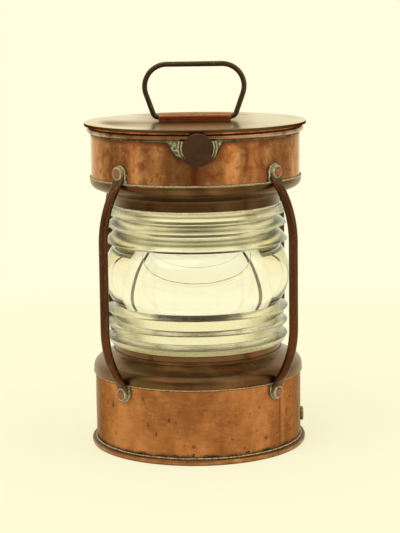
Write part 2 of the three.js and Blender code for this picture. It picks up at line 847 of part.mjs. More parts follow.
const knobFace = knobBack + knobThickness;
const knobGeometry = turned(
  [
    [0, knobBack + boltThreadLength],
    [boltRadius + seatGap, knobBack + boltThreadLength],
    [boltRadius + seatGap, knobBack],
    [knobRadius - knobChamfer, knobBack],
    [knobRadius, knobBack + knobChamfer],
    [knobRadius, knobFace - knobChamfer],
    [knobRadius - knobChamfer, knobFace],
    [0, knobFace],
  ],
  2 * smallSegments,
);
add('catch_knob', radial(knobGeometry, front, catchHeight), 'knob');

// Spring between the bolt's collar and the end of the barrel
const stepsPerTurn = 8;

function springStations() {
  const steps = stepsPerTurn * springTurns;
  const start = collarFace + seatGap + springWireRadius;
  const length = barrelFace - barrelEnd - seatGap - springWireRadius - start;
  const coilRadius = (boltRadius + barrelBore) / 2;
  return Array.from({ length: steps + 1 }, (_, i) => {
    const angle = (2 * Math.PI * springTurns * i) / steps;
    const rise = length / (2 * Math.PI * springTurns);
    const point = new THREE.Vector3(
      coilRadius * Math.cos(angle),
      coilRadius * Math.sin(angle),
      start + rise * angle,
    );
    const along = new THREE.Vector3(-coilRadius * Math.sin(angle), coilRadius * Math.cos(angle), rise);
    return { point, along };
  });
}

// The least gap between one turn and the next, measured between the stations
function leastGap(stations, radius) {
  const gaps = stations.flatMap(({ point }, i) =>
    stations.slice(i + stepsPerTurn / 2).map((other) => point.distanceTo(other.point) - 2 * radius),
  );
  return Math.min(...gaps);
}

const springCoil = springStations();
console.log(`catch_spring: least gap to itself ${leastGap(springCoil, springWireRadius).toFixed(2)} mm`);
const springGeometry = wire(springCoil, springWireRadius, new THREE.Vector3(0, 0, 1), springSides);
add('catch_spring', radial(springGeometry, front, catchHeight), 'steel');

// Hinge at the back
const hingeY = lidRadius + hingeAxisOut;
const hingeZ = lidTop - hingeAxisDrop;

function alongHinge(radius, minX, maxX) {
  return extruded(arc([hingeY, hingeZ], radius, radius, 0, 2 * Math.PI * (11 / 12), 11), minX, maxX);
}

const middleHalf = middleKnuckle / 2;
const hingeBoreEnd = hingeHalfWidth + cutOverrun;
const hingeBore = alongHinge(hingePinRadius + fitGap, -hingeBoreEnd, hingeBoreEnd);
const leafBack = wallRadius + seatGap + leafThickness;
const wallLeafPlate = block(
  -hingeHalfWidth,
  hingeHalfWidth,
  wallInside - cutOverrun,
  leafBack,
  wallLeafTop - wallLeafDrop,
  wallLeafTop,
);
const wallLeafNeck = extruded(
  [
    [leafBack - leafThickness, wallLeafTop],
    [leafBack, wallLeafTop - leafThickness],
    [hingeY + knuckleRadius / 2, hingeZ],
    [hingeY - knuckleRadius / 2, hingeZ],
  ],
  -middleHalf,
  middleHalf,
);
const wallLeaf = joined([wallLeafPlate, wallLeafNeck, alongHinge(knuckleRadius, -middleHalf, middleHalf)]);
const wallBehindLeaf = drumCutter(wallLeafTop);
const leafHoles = leafRivetX.map((x) => {
  const hole = radial(
    bar(leafRivetRadius + fitGap, wallInside - cutOverrun, leafBack + cutOverrun),
    back,
    leafRivetHeight,
  );
  hole.translate(x, 0, 0);
  return hole;
});
add('hinge_wall_leaf', cut(wallLeaf, [wallBehindLeaf, hingeBore, ...leafHoles]), 'patina');

const lidLeafTop = lidUnder - seatGap;
const lidLeafPlate = block(
  -hingeHalfWidth,
  hingeHalfWidth,
  hingeY - hingeAxisOut - lidLeafLength,
  hingeY,
  lidLeafTop - leafThickness,
  lidLeafTop,
);
const lidLeaf = joined([
  lidLeafPlate,
  alongHinge(knuckleRadius, -hingeHalfWidth, -middleHalf - fitGap),
  alongHinge(knuckleRadius, middleHalf + fitGap, hingeHalfWidth),
]);
const middleClear = alongHinge(knuckleRadius + 2 * fitGap, -middleHalf - fitGap, middleHalf + fitGap);
add('hinge_lid_leaf', cut(lidLeaf, [middleClear, hingeBore]), 'patina');

const pinEnd = hingeHalfWidth + fitGap;
const pinGeometry = turned(
  [
    [0, -pinEnd - hingePinHead],
    [hingePinHeadRadius, -pinEnd - hingePinHead],
    [hingePinHeadRadius, -pinEnd],
    [hingePinRadius, -pinEnd],
    [hingePinRadius, pinEnd],
    [hingePinHeadRadius, pinEnd],
    [hingePinHeadRadius, pinEnd + hingePinHead],
    [0, pinEnd + hingePinHead],
  ],
  smallSegments,
);
pinGeometry.rotateY(Math.PI / 2);
pinGeometry.translate(0, hingeY, hingeZ);
add('hinge_pin', pinGeometry, 'brass');

const leafTailFace = seatInside(leafRivetSpacing / 2 + leafRivetHeadRadius);
const leafRivetGeometry = turned(
  [
    [0, leafTailFace - leafRivetHead],
    [leafRivetHeadRadius, leafTailFace - leafRivetHead],
    [leafRivetHeadRadius, leafTailFace],
    [leafRivetRadius, leafTailFace],
    [leafRivetRadius, leafBack + seatGap],
    [leafRivetHeadRadius, leafBack + seatGap],
    [leafRivetHeadRadius * Math.cos(Math.PI / 4), leafBack + seatGap + leafRivetHead],
    [0, leafBack + seatGap + leafRivetHead],
  ],
  smallSegments,
);
leafRivetX.forEach((x, i) => {
  const rivet = radial(leafRivetGeometry, back, leafRivetHeight);
  rivet.translate(x, 0, 0);
  add(`hinge_rivet_${['left', 'right'][i]}`, rivet, 'rivet');
});

// Cable gland through the base wall at the right
const glandFace = wallRadius + fitGap + glandFlangeThickness;
const glandGeometry = ring(
  [
    [glandBore, glandFace - glandLength],
    [glandTubeRadius, glandFace - glandLength],
    [glandTubeRadius, wallRadius + fitGap],
    [glandFlangeRadius, wallRadius + fitGap],
    [glandFlangeRadius, glandFace - glandFlangeThickness / 3],
    [glandFlangeRadius - glandFlangeThickness / 3, glandFace],
    [glandBore, glandFace],
  ],
  2 * smallSegments,
);
add('cable_gland', radial(glandGeometry, right, glandHeight), 'brass');

const nutOutside = seatInside(glandNutRadius);
const nutBlank = bar(glandNutRadius, nutOutside - glandNutThickness, nutOutside, 6);
const nutBore = bar(
  glandTubeRadius + seatGap,
  nutOutside - 2 * glandNutThickness,
  nutOutside + glandNutThickness,
  2 * smallSegments,
);
add('cable_gland_nut', radial(cut(nutBlank, [nutBore]), right, glandHeight), 'brass');

// Lampholder on its pillar
const pillarFoot = basePlateThickness + seatGap;
const pillarGeometry = ring(
  [
    [pillarBore, pillarFoot],
    [pillarFootRadius, pillarFoot],
    [pillarFootRadius, pillarFoot + pillarFootThickness],
    [pillarRadius, pillarFoot + pillarFootThickness],
    [pillarRadius, pillarTop],
    [pillarBore, pillarTop],
  ],
  2 * smallSegments,
);
add('lamp_pillar', pillarGeometry, 'brass');

const holderBottom = pillarTop + seatGap;
const holderFloor = holderBottom + holderWall;
const holderGeometry = ring(
  [
    [pillarBore, holderBottom],
    [holderRadius, holderBottom],
    [holderRadius, holderBottom + holderHeight],
    [holderRadius - holderWall, holderBottom + holderHeight],
    [holderRadius - holderWall, holderFloor],
    [pillarBore, holderFloor],
  ],
  2 * smallSegments,
);
add('lampholder_shell', holderGeometry, 'brass');

const insulatorBottom = holderFloor + seatGap;
const insulatorTop = insulatorBottom + insulatorThickness;
const insulatorRadius = holderRadius - holderWall - seatGap;
const insulatorGeometry = bar(insulatorRadius, insulatorBottom, insulatorTop, 2 * smallSegments);
add('lampholder_insulator', insulatorGeometry, 'porcelain');

export default light;
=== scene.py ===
import math

import bmesh
import bpy
from mathutils import Matrix, Vector, noise


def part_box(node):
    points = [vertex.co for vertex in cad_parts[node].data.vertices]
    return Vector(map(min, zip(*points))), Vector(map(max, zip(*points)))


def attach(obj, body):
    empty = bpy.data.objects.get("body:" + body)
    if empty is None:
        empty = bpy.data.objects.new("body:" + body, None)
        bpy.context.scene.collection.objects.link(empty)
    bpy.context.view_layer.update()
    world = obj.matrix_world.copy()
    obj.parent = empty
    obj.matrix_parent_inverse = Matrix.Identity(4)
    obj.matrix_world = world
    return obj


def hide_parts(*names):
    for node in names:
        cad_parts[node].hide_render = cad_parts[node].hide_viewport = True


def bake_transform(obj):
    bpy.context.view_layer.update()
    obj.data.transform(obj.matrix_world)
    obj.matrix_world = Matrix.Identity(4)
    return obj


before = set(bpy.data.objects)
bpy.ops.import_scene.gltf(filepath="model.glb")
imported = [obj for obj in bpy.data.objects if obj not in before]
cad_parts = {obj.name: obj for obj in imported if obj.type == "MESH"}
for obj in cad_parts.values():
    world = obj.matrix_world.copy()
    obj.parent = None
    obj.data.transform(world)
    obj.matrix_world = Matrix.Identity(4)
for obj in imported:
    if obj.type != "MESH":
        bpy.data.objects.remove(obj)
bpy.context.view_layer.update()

MM = 0.001
TAU = 2 * math.pi


def span(node):
    """Lowest and highest corner of a CAD node, in millimetres."""
    low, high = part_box(node)
    return low / MM, high / MM


def heights(node):
    low, high = span(node)
    return low.z, high.z


# ---- Sizes -----------------------------------------------------------------------------------------------

SEGMENTS = 192
GAP = 0.15
FIT = 0.3
SHEET = 1.0
WALL_RADIUS = 95.0
SKIRT_RADIUS = WALL_RADIUS + GAP + SHEET
PLATE = 1.2
FOOT_HEIGHT = heights("foot_ring")[1]
FOOT_BULGE, FOOT_FLAT = 3.9, 2.2
RIM_BOTTOM, RIM_TOP = heights("top_rim_ring")
RIM_BULGE = 3.15
SEAM = math.radians(49) * WALL_RADIUS
LAP = math.radians(51.5) * WALL_RADIUS

BASE_SKIRT_BOTTOM = heights("base_shoulder")[0]
BASE_SKIRT_LENGTH = 4.1
BASE_BEND, BASE_SLOPE = 9.0, math.radians(27)
TOP_SKIRT_TOP = heights("top_shoulder")[1]
TOP_SKIRT_LENGTH = 2.6
TOP_BEND, TOP_SLOPE = 8.0, math.radians(22)
NECK_RADIUS = 77.55
NECK_EDGE, NECK_FILLET, NECK_ROUND = 0.9, 2.0, 2.6

COLLAR_RADIUS, COLLAR_HEIGHT = 76.4, 10
SPIGOT_RADIUS, SPIGOT_LENGTH = 68.3, 5
PACKING_WIDTH, PACKING_HEIGHT = 6.5, 1
LENS_BORE = 68.6
LENS_BOTTOM, LENS_TOP = heights("lens")
LENS_MIDDLE = (LENS_BOTTOM + LENS_TOP) / 2
BELT_TOP_RISE, BELT_BOTTOM_DROP = 27.4, 27.2
BELT_CROWN = 10.0
ROOT_WALLS = (6.6, 5.0, 4.6)

ROD_RADIUS = 4.0
ROD_REACH = WALL_RADIUS + 22.0
ROD_BEND, ROD_LEAN = 80.0, math.radians(32)
KINK_RADIUS = 6.0
EYE_THICKNESS, EYE_RADIUS, EYE_NECK = 3.2, 6.3, 5.6
EYE_RADIUS_OUT = WALL_RADIUS + 0.8 + EYE_THICKNESS / 2
EYE_TO_KINK = 4.6
LOW_RIVET = BASE_SKIRT_BOTTOM - 8.1
HIGH_RIVET = TOP_SKIRT_TOP + 9.2
ROD_MIDDLE = (LOW_RIVET + HIGH_RIVET) / 2
RIVET_OFFSET = HIGH_RIVET - ROD_MIDDLE
RIVET_BACK = WALL_RADIUS - 2.4
RIVET_CLENCH, RIVET_SHANK, RIVET_HEAD = 3.9, 2.4, 4.9
CORNERS = {"front_right": 45, "rear_right": 135, "rear_left": 225, "front_left": 315}

LID_UNDER, LID_TOP = heights("top_wall")[1] + FIT, heights("lid")[1]
LID_RADIUS = span("lid")[1].x
LID_RIM, LID_EDGE = 2.8, 1.2
NOTCH = 13.3

BAIL_WIRE = 2.4
BAIL_HALF = 45.0
BAIL_CORNER, BAIL_LEAN, BAIL_FOOT = 20.0, math.radians(19.5), 5.0
BAIL_TOP = heights("bail")[1] - BAIL_WIRE
KEEPER_SHEET = 0.7
KEEPER_BORE = BAIL_WIRE + 0.2
KEEPER_OUTSIDE = KEEPER_BORE + KEEPER_SHEET
KEEPER_BOTTOM = heights("bail_keeper")[0]
KEEPER_LENGTH, KEEPER_FLANGE = 65.4, 2.2
BAIL_AXIS = KEEPER_BOTTOM + KEEPER_OUTSIDE

CATCH_HEIGHT = sum(heights("catch_knob")) / 2
KNOB_RADIUS, KNOB_SOCKET = 13.2, 3
KNOB_BACK, KNOB_FACE = -span("catch_knob")[1].y, -span("catch_knob")[0].y
FLANGE_RADIUS, FLANGE_FACE = 17, -span("catch_flange")[0].y
BARREL_BORE, BARREL_RADIUS, BARREL_LIP, BARREL_LIP_HEIGHT = 2.8, 5.5, 7.5, 1.5
BOLT_RADIUS, BOLT_COLLAR, BOLT_COLLAR_HEIGHT = 2.5, 5.2, 1.5
BOLT_NOSE = -span("catch_bolt")[1].y
SPRING_WIRE = 0.3
SPRING_TURNS = 4

PIN_END, PIN_HEAD, PIN_RADIUS = span("hinge_pin")[1].x, 2.5, 1.6
HINGE_HEAD = 1.2
HINGE_RIVETS = {"left": -8, "right": 8}
GLAND_HEIGHT, GLAND_LENGTH = 21.5, 12
GLAND_BORE, GLAND_RADIUS, GLAND_LIP = 4, 5.2, 6.4
PILLAR_BORE, PILLAR_RADIUS, PILLAR_FOOT, PILLAR_TOP = 5, 8, 22, 60
HOLDER_RADIUS, HOLDER_SHEET, HOLDER_HEIGHT = 15, 1.2, 30

# ---- Camera ----------------------------------------------------------------------------------------------

PHOTO_HEIGHT = 533
FOCAL_PIXELS = 1738.4
CAMERA_AWAY = 1577.45
CAMERA_HEIGHT = 425.64
CAMERA_PITCH = 0.165778
CAMERA_YAW = 0.001898
CAMERA_ROLL = 0.0128838
OBJECT_TURN = math.radians(1.15)


def placed(name, data):
    """A new object in the scene."""
    made = bpy.data.objects.new(name, data)
    bpy.context.scene.collection.objects.link(made)
    return made


def make_camera():
    data = bpy.data.cameras.new("camera")
    data.sensor_width = 36
    data.sensor_fit = "AUTO"
    data.lens = FOCAL_PIXELS / PHOTO_HEIGHT * data.sensor_width
    ahead = Vector((
        math.sin(CAMERA_YAW) * math.cos(CAMERA_PITCH),
        math.cos(CAMERA_YAW) * math.cos(CAMERA_PITCH),
        -math.sin(CAMERA_PITCH),
    ))
    level = ahead.cross(Vector((0, 0, 1))).normalized()
    overhead = level.cross(ahead).normalized()
    right = math.cos(CAMERA_ROLL) * level - math.sin(CAMERA_ROLL) * overhead
    up = math.sin(CAMERA_ROLL) * level + math.cos(CAMERA_ROLL) * overhead
    looks = Matrix((right, up, -ahead)).transposed().to_4x4()
    looks.translation = Vector((0, -CAMERA_AWAY, CAMERA_HEIGHT)) * MM
    camera = placed("camera", data)
    camera.matrix_world = Matrix.Rotation(-OBJECT_TURN, 4, "Z") @ looks
    bpy.context.scene.camera = camera


# ---- Node graphs -----------------------------------------------------------------------------------------

class Graph:
    """A node tree that is written as sums."""

    def __init__(self, tree):
        self.tree = tree

    def node(self, kind, inputs=(), **settings):
        made = self.tree.nodes.new(kind)
        for name, value in settings.items():
            setattr(made, name, value)
        for socket, value in dict(inputs).items():
            self.put(made.inputs[socket], value)
        return made

    def put(self, socket, value):
        if isinstance(value, bpy.types.NodeSocket):
            self.tree.links.new(value, socket)
        else:
            socket.default_value = value

    def math(self, operation, *values, clamp=False):
        values = dict(enumerate(values))
        return self.node("ShaderNodeMath", values, operation=operation, use_clamp=clamp).outputs[0]

    def product(self, *values):
        total = values[0]
        for value in values[1:]:
            total = self.math("MULTIPLY", total, value)
        return total

    def distance(self, across, along):
        return self.math("SQRT", self.math("MULTIPLY_ADD", across, across, self.product(along, along)))

    def rise(self, value, low, high):
        """0 below low, 1 above high, and smooth between; it falls instead where low is above high."""
        return self.node("ShaderNodeMapRange", {
            "Value": value, "From Min": min(low, high), "From Max": max(low, high),
            "To Min": float(low > high), "To Max": float(low <= high),
        }, interpolation_type="SMOOTHSTEP").outputs["Result"]

    def near(self, value, middle, full, fade):
        """1 within full of the middle, falling to 0 over fade beyond it."""
        away = self.math("ABSOLUTE", self.math("SUBTRACT", value, middle))
        return self.rise(away, full + fade, full)

    def blend(self, mask, below, above):
        """What is below, or above where the mask is 1: both are numbers, or colours if above is one."""
        coloured = isinstance(above, tuple)
        below_at = 6 if coloured else 2
        mixed = self.node("ShaderNodeMix", {
            0: mask, below_at: below, below_at + 1: (*above, 1) if coloured else above,
        }, data_type="RGBA" if coloured else "FLOAT")
        return mixed.outputs[2 if coloured else 0]


class Finish(Graph):
    """A procedural material: a first coat, with layers laid over it."""

    def __init__(self, name, colour, roughness, metallic=1.0):
        self.material = bpy.data.materials.new(name)
        self.material.use_nodes = True
        super().__init__(self.material.node_tree)
        self.shader = self.tree.nodes["Principled BSDF"]
        self.colour, self.edge = (*colour, 1), (1, 1, 1, 1)
        self.roughness, self.metallic, self.height = roughness, metallic, 0.0
        here = self.node("ShaderNodeTexCoord").outputs["Object"]
        scaled = self.node("ShaderNodeVectorMath", {0: here, "Scale": 1 / MM}, operation="SCALE")
        self.place = scaled.outputs[0]
        self.x, self.y, self.z = self.node("ShaderNodeSeparateXYZ", {0: self.place}).outputs

    def moved(self, size, seed, stretch):
        """Coordinates that count in steps of a size, from a place that the seed picks."""
        return self.node("ShaderNodeMapping", {
            "Vector": self.place, "Location": (seed, seed * 0.7, seed * 1.3),
            "Scale": [1 / (size * s) for s in stretch],
        }).outputs[0]

    def clouds(self, size, seed, detail=3.0, stretch=(1, 1, 1), rough=0.5, warp=0.0):
        """Cloudy noise about a half, with blotches of a size that stretch draws out along the axes."""
        return self.node("ShaderNodeTexNoise", {
            "Vector": self.moved(size, seed, stretch), "Scale": 1,
            "Detail": detail, "Roughness": rough, "Distortion": warp,
        }).outputs["Fac"]

    def ragged(self, value, depth, size, seed, **look):
        """A value that clouds raise by up to a depth."""
        return self.math("MULTIPLY_ADD", self.clouds(size, seed, **look), depth, value)

    def specks(self, spacing, radius, share, seed, stretch=(1, 1, 1)):
        """Round specks on a random grid, where a share of the cells has one."""
        cells = self.node("ShaderNodeTexVoronoi", {"Vector": self.moved(spacing, seed, stretch), "Scale": 1})
        chance, size, _ = self.node("ShaderNodeSeparateColor", {0: cells.outputs["Color"]}).outputs
        past = self.math("SUBTRACT", cells.outputs["Distance"], self.product(size, radius / spacing))
        return self.product(self.rise(past, 0.06, -0.06), self.math("LESS_THAN", chance, share))

    def layer(self, mask, colour=None, roughness=None, metallic=None, height=None, edge=None):
        """Lays a coat over what is there, where the mask is 1. A height is in millimetres, and the edge is
        the tint of a metal seen at a flat angle."""
        looks = {"colour": colour, "edge": edge, "roughness": roughness, "metallic": metallic}
        for name, look in looks.items():
            if look is not None:
                setattr(self, name, self.blend(mask, getattr(self, name), look))
        if height is not None:
            self.height = self.math("MULTIPLY_ADD", mask, height, self.height)

    def coat(self, value, low, high, share, *looks, **more):
        """Lays a layer that reaches its share as a value goes from low to high."""
        self.layer(self.product(self.rise(value, low, high), share), *looks, **more)

    def waves(self, size, seed, depth):
        self.layer(self.clouds(size, seed, detail=1), height=depth)

    def lacquer(self, weight, roughness):
        """A clear skin over the metal, which shines without colour."""
        for name, value in (("Weight", weight), ("Roughness", roughness), ("IOR", 1.5)):
            self.shader.inputs[f"Coat {name}"].default_value = value

    def done(self):
        looks = {"Base Color": self.colour, "Specular Tint": self.edge, "Roughness": self.roughness,
                 "Metallic": self.metallic}
        if isinstance(self.height, bpy.types.NodeSocket):
            bump = self.node("ShaderNodeBump", {"Strength": 1.0, "Distance": MM, "Height": self.height})
            looks["Normal"] = bump.outputs[0]
        for name, look in looks.items():
            self.put(self.shader.inputs[name], look)
        return self.material

    def output(self):
        return next(n for n in self.tree.nodes if n.type == "OUTPUT_MATERIAL")


# ---- Materials -------------------------------------------------------------------------------------------

COPPER = (0.425, 0.157, 0.051)
COPPER_PALE = (0.58, 0.25, 0.090)
# dark copper stain colour, also used as painted shade at the base drum's edges
COPPER_STAIN_AND_SHADE = (0.185, 0.052, 0.014)
BROWN = (0.105, 0.046, 0.017)
BROWN_PALE = (0.20, 0.100, 0.042)
NEAR_BLACK = (0.024, 0.013, 0.006)
OLIVE = (0.13, 0.105, 0.050)
VERDIGRIS = (0.46, 0.44, 0.29)
VERDIGRIS_DARK = (0.16, 0.16, 0.09)
SOLDER = (0.44, 0.37, 0.24)
TINNED = (0.27, 0.225, 0.12)
PUTTY = (0.95, 0.90, 0.70)


def inside_drum(finish):
    """1 where a surface faces the axis of the drums."""
    normal = finish.node("ShaderNodeTexCoord").outputs["Normal"]
    facing_x, facing_y, _ = finish.node("ShaderNodeSeparateXYZ", {0: normal}).outputs
    outwards = finish.math("MULTIPLY_ADD", finish.x, facing_x, finish.product(finish.y, facing_y))
    return finish.rise(outwards, -5.0, -15.0)


def unrolled(finish):
    """Distance round the drum from the front, to the right positive, in millimetres along its wall."""
    turn = finish.math("ARCTAN2", finish.x, finish.product(finish.y, -1.0))
    return finish.product(turn, WALL_RADIUS)


def sheet_copper(name, seed, roughness, pale, blotched):
    """Old copper sheet: tarnish that is pale in places and blotched by a share, scratches and specks."""
    copper = Finish(name, COPPER, roughness)
    mottle = copper.clouds(16, seed, detail=5, stretch=(1, 1, 2.2), rough=0.6)
    copper.coat(mottle, 0.48, 0.70, 0.6, pale)
    copper.coat(mottle, 0.48, 0.30, 0.5, COPPER_STAIN_AND_SHADE, roughness + 0.06)
    patches = copper.clouds(6.5, seed + 9, detail=5, rough=0.6)
    copper.coat(patches, 0.54, 0.66, blotched, COPPER_STAIN_AND_SHADE, roughness + 0.08)
    copper.coat(patches, 0.44, 0.32, blotched, pale)
    specks = copper.specks(5.5, 0.5, 0.22, seed)
    copper.layer(copper.product(specks, 0.8), BROWN, 0.55, height=-0.03)
    scratches = copper.clouds(1.3, seed + 5, detail=1, stretch=(1, 1, 16), warp=0.4)
    copper.coat(scratches, 0.70, 0.76, 0.35, COPPER_PALE, 0.4, height=-0.01)
    copper.layer(copper.clouds(4.5, seed + 6), height=0.010)
    copper.waves(26, seed + 7, 0.40)
    return copper


def base_copper():
    copper = sheet_copper("base_copper", 4.0, 0.22, COPPER_PALE, 0.16)
    copper.lacquer(0.15, 0.25)
    copper.edge = (0.60, 0.50, 0.41, 1)
    broad = copper.clouds(34, 19, detail=2, stretch=(1, 1, 1.6))
    copper.coat(broad, 0.52, 0.36, 0.5, COPPER_STAIN_AND_SHADE, 0.30)
    copper.coat(broad, 0.53, 0.64, 0.7, COPPER_PALE, 0.18)
    # painted shade: the drum's colour turns darker towards its edges as seen, standing in for the darker
    # reflections there at a flat angle
    facing = copper.node("ShaderNodeLayerWeight", {"Blend": 0.30}).outputs["Facing"]
    copper.coat(facing, 0.15, 0.80, 0.85, COPPER_STAIN_AND_SHADE)
    low = copper.rise(copper.z, 30.0, 8.0)
    broken = copper.rise(copper.clouds(2.2, 8), 0.44, 0.50)
    pits = copper.specks(9, 3.4, 0.60, 33, stretch=(1, 1, 0.8))
    copper.layer(copper.product(pits, low, broken), (0.050, 0.018, 0.008), 0.6, height=-0.12)
    nicks = copper.specks(10, 3.0, 0.60, 77, stretch=(0.6, 0.6, 1.2))
    copper.layer(copper.product(nicks, broken, 0.85), BROWN, 0.5, height=-0.06)
    brushed = copper.clouds(3.0, 51, detail=5, stretch=(3, 3, 1), rough=0.65)
    copper.coat(brushed, 0.52, 0.66, 0.30, COPPER_PALE, 0.18)
    copper.coat(brushed, 0.46, 0.34, 0.25, COPPER_STAIN_AND_SHADE, 0.30)
    scuffs = copper.rise(copper.clouds(19, 41, detail=2), 0.60, 0.72)
    speckled = copper.rise(copper.clouds(1.5, 43), 0.46, 0.56)
    copper.layer(copper.product(scuffs, speckled, 0.45), COPPER_PALE, 0.30)
    round_drum = unrolled(copper)
    seam = copper.product(copper.near(round_drum, SEAM, 0.3, 0.9), 0.8)
    copper.layer(seam, COPPER_STAIN_AND_SHADE, 0.5, height=-0.15)
    # painted highlight: a paler stripe along the lap stands in for the lit edge of the overlapping sheet
    copper.layer(copper.product(copper.near(round_drum, LAP, 1.2, 2.5), 0.35), COPPER_PALE)
    # darker towards the bottom of the wall, just above the foot ring
    dark_towards_foot = copper.ragged(copper.ragged(copper.z, -9.0, 17, 2, detail=2), -2.5, 1.6, 3)
    copper.coat(dark_towards_foot, 4.4, 1.2, 0.8, BROWN, 0.5)
    copper.coat(dark_towards_foot, 1.8, 0.8, 0.85, NEAR_BLACK, 0.6)
    under_skirt = copper.ragged(copper.z, -1.2, 2.5, 14)
    copper.coat(under_skirt, BASE_SKIRT_BOTTOM - 2.4, BASE_SKIRT_BOTTOM - 1.6, 0.7, COPPER_STAIN_AND_SHADE, 0.5)
    eye_marks(copper, round_drum, LOW_RIVET, -1.0)
    copper.layer(inside_drum(copper), TINNED, 0.5, 0.5)
    return copper.done()


def eye_marks(copper, round_drum, rivet_height, upright):
    """Pale crust close round the guard-rod eyes, a dark line at its edge and a stain beyond it."""
    quarter = math.radians(90) * WALL_RADIUS
    folded = copper.math("MODULO", copper.math("ADD", round_drum, quarter * 4), quarter)
    across = copper.math("SUBTRACT", folded, quarter / 2)
    up = copper.product(copper.math("SUBTRACT", copper.z, rivet_height), upright)
    away = copper.distance(across, copper.math("MAXIMUM", up, 0.0))
    ragged = copper.ragged(copper.math("SUBTRACT", away, EYE_RADIUS), 5.0, 3.0, 17, detail=4)
    copper.coat(ragged, 9.5, 3.3, 0.55, COPPER_STAIN_AND_SHADE, 0.35)
    copper.coat(ragged, 4.1, 3.6, 0.9, BROWN, 0.6, 0.4)
    pale = copper.rise(copper.clouds(1.3, 27, detail=4), 0.42, 0.56)
    copper.coat(ragged, 3.2, 2.8, pale, VERDIGRIS, 0.85, 0.0, 0.10)


def top_copper():
    copper = sheet_copper("top_copper", 21.0, 0.10, (0.72, 0.37, 0.16), 0.35)
    copper.lacquer(0.12, 0.10)
    copper.edge = (0.94, 0.82, 0.68, 1)
    blots = copper.clouds(9, 71, detail=5, rough=0.6)
    copper.coat(blots, 0.50, 0.62, 0.60, (0.24, 0.050, 0.016), 0.14)
    round_drum = unrolled(copper)
    fall = copper.math("SUBTRACT", CATCH_HEIGHT, copper.z)
    # painted shadow of the knob mixed with a stain: the wall darkens in a ragged band below the catch
    shadow_and_stain_width = copper.ragged(copper.math("ABSOLUTE", round_drum), 9.0, 6, 5, stretch=(1, 1, 3))
    stain = copper.product(copper.rise(shadow_and_stain_width, 18.0, 7.0), 0.45)
    copper.coat(fall, -12.0, 2.0, stain, (0.22, 0.040, 0.014), 0.24)
    # painted shadow: a narrower, darker column straight below the knob
    beside = copper.math("ABSOLUTE", copper.math("ADD", round_drum, 3.0))
    shadow_core_width = copper.ragged(beside, 5.0, 5, 8, detail=2, stretch=(1, 1, 3))
    knob_shadow_core = copper.product(copper.rise(shadow_core_width, 6.5, 4.0), 0.7)
    copper.coat(fall, 4.0, 12.0, knob_shadow_core, (0.13, 0.022, 0.010), 0.35)
    wings(copper, copper.math("ABSOLUTE", copper.math("ADD", round_drum, 2.0)))
    foot = copper.ragged(copper.z, -1.6, 3, 14)
    copper.coat(foot, TOP_SKIRT_TOP + 0.9, TOP_SKIRT_TOP - 0.3, 0.8, BROWN, 0.5)
    eye_marks(copper, round_drum, HIGH_RIVET, 1.0)
    copper.layer(inside_drum(copper), TINNED, 0.5, 0.5)
    return copper.done()


def wings(copper, across):
    """Verdigris under the rim ring, widening downwards to the catch on either side, in a dark outline."""
    spread = copper.rise(across, 54.0, 30.0)
    deep = copper.math("MULTIPLY_ADD", copper.rise(across, 27.0, 14.0), 14.0, spread)
    reach = copper.math("ADD", copper.z, copper.ragged(deep, 2.4, 3.4, 52, detail=4))
    below = copper.math("SUBTRACT", reach, RIM_BOTTOM + 0.4)
    shown = copper.rise(copper.z, RIM_TOP, RIM_BOTTOM)
    shown_most = copper.product(shown, 0.85)
    copper.coat(below, -6.0, -0.5, shown_most, (0.17, 0.036, 0.014), 0.26)
    copper.coat(below, -1.1, -0.3, shown, (0.045, 0.022, 0.010), 0.55, 0.6)
    copper.coat(below, 0.9, 2.2, shown_most, OLIVE, 0.7, 0.3)
    patch = copper.rise(copper.clouds(2.6, 61, detail=5), 0.46, 0.58)
    green = copper.product(copper.rise(across, 30.0, 17.0), patch, shown)
    copper.coat(below, 1.4, 3.0, green, (0.34, 0.39, 0.22), 0.85, 0.0, 0.08)
    soft = copper.product(copper.rise(copper.clouds(6.0, 63), 0.38, 0.58), 0.75)
    band = copper.near(copper.z, RIM_BOTTOM - 0.9, 0.3, 0.6)
    copper.layer(copper.product(band, soft), VERDIGRIS_DARK, 0.8, 0.1, 0.04)


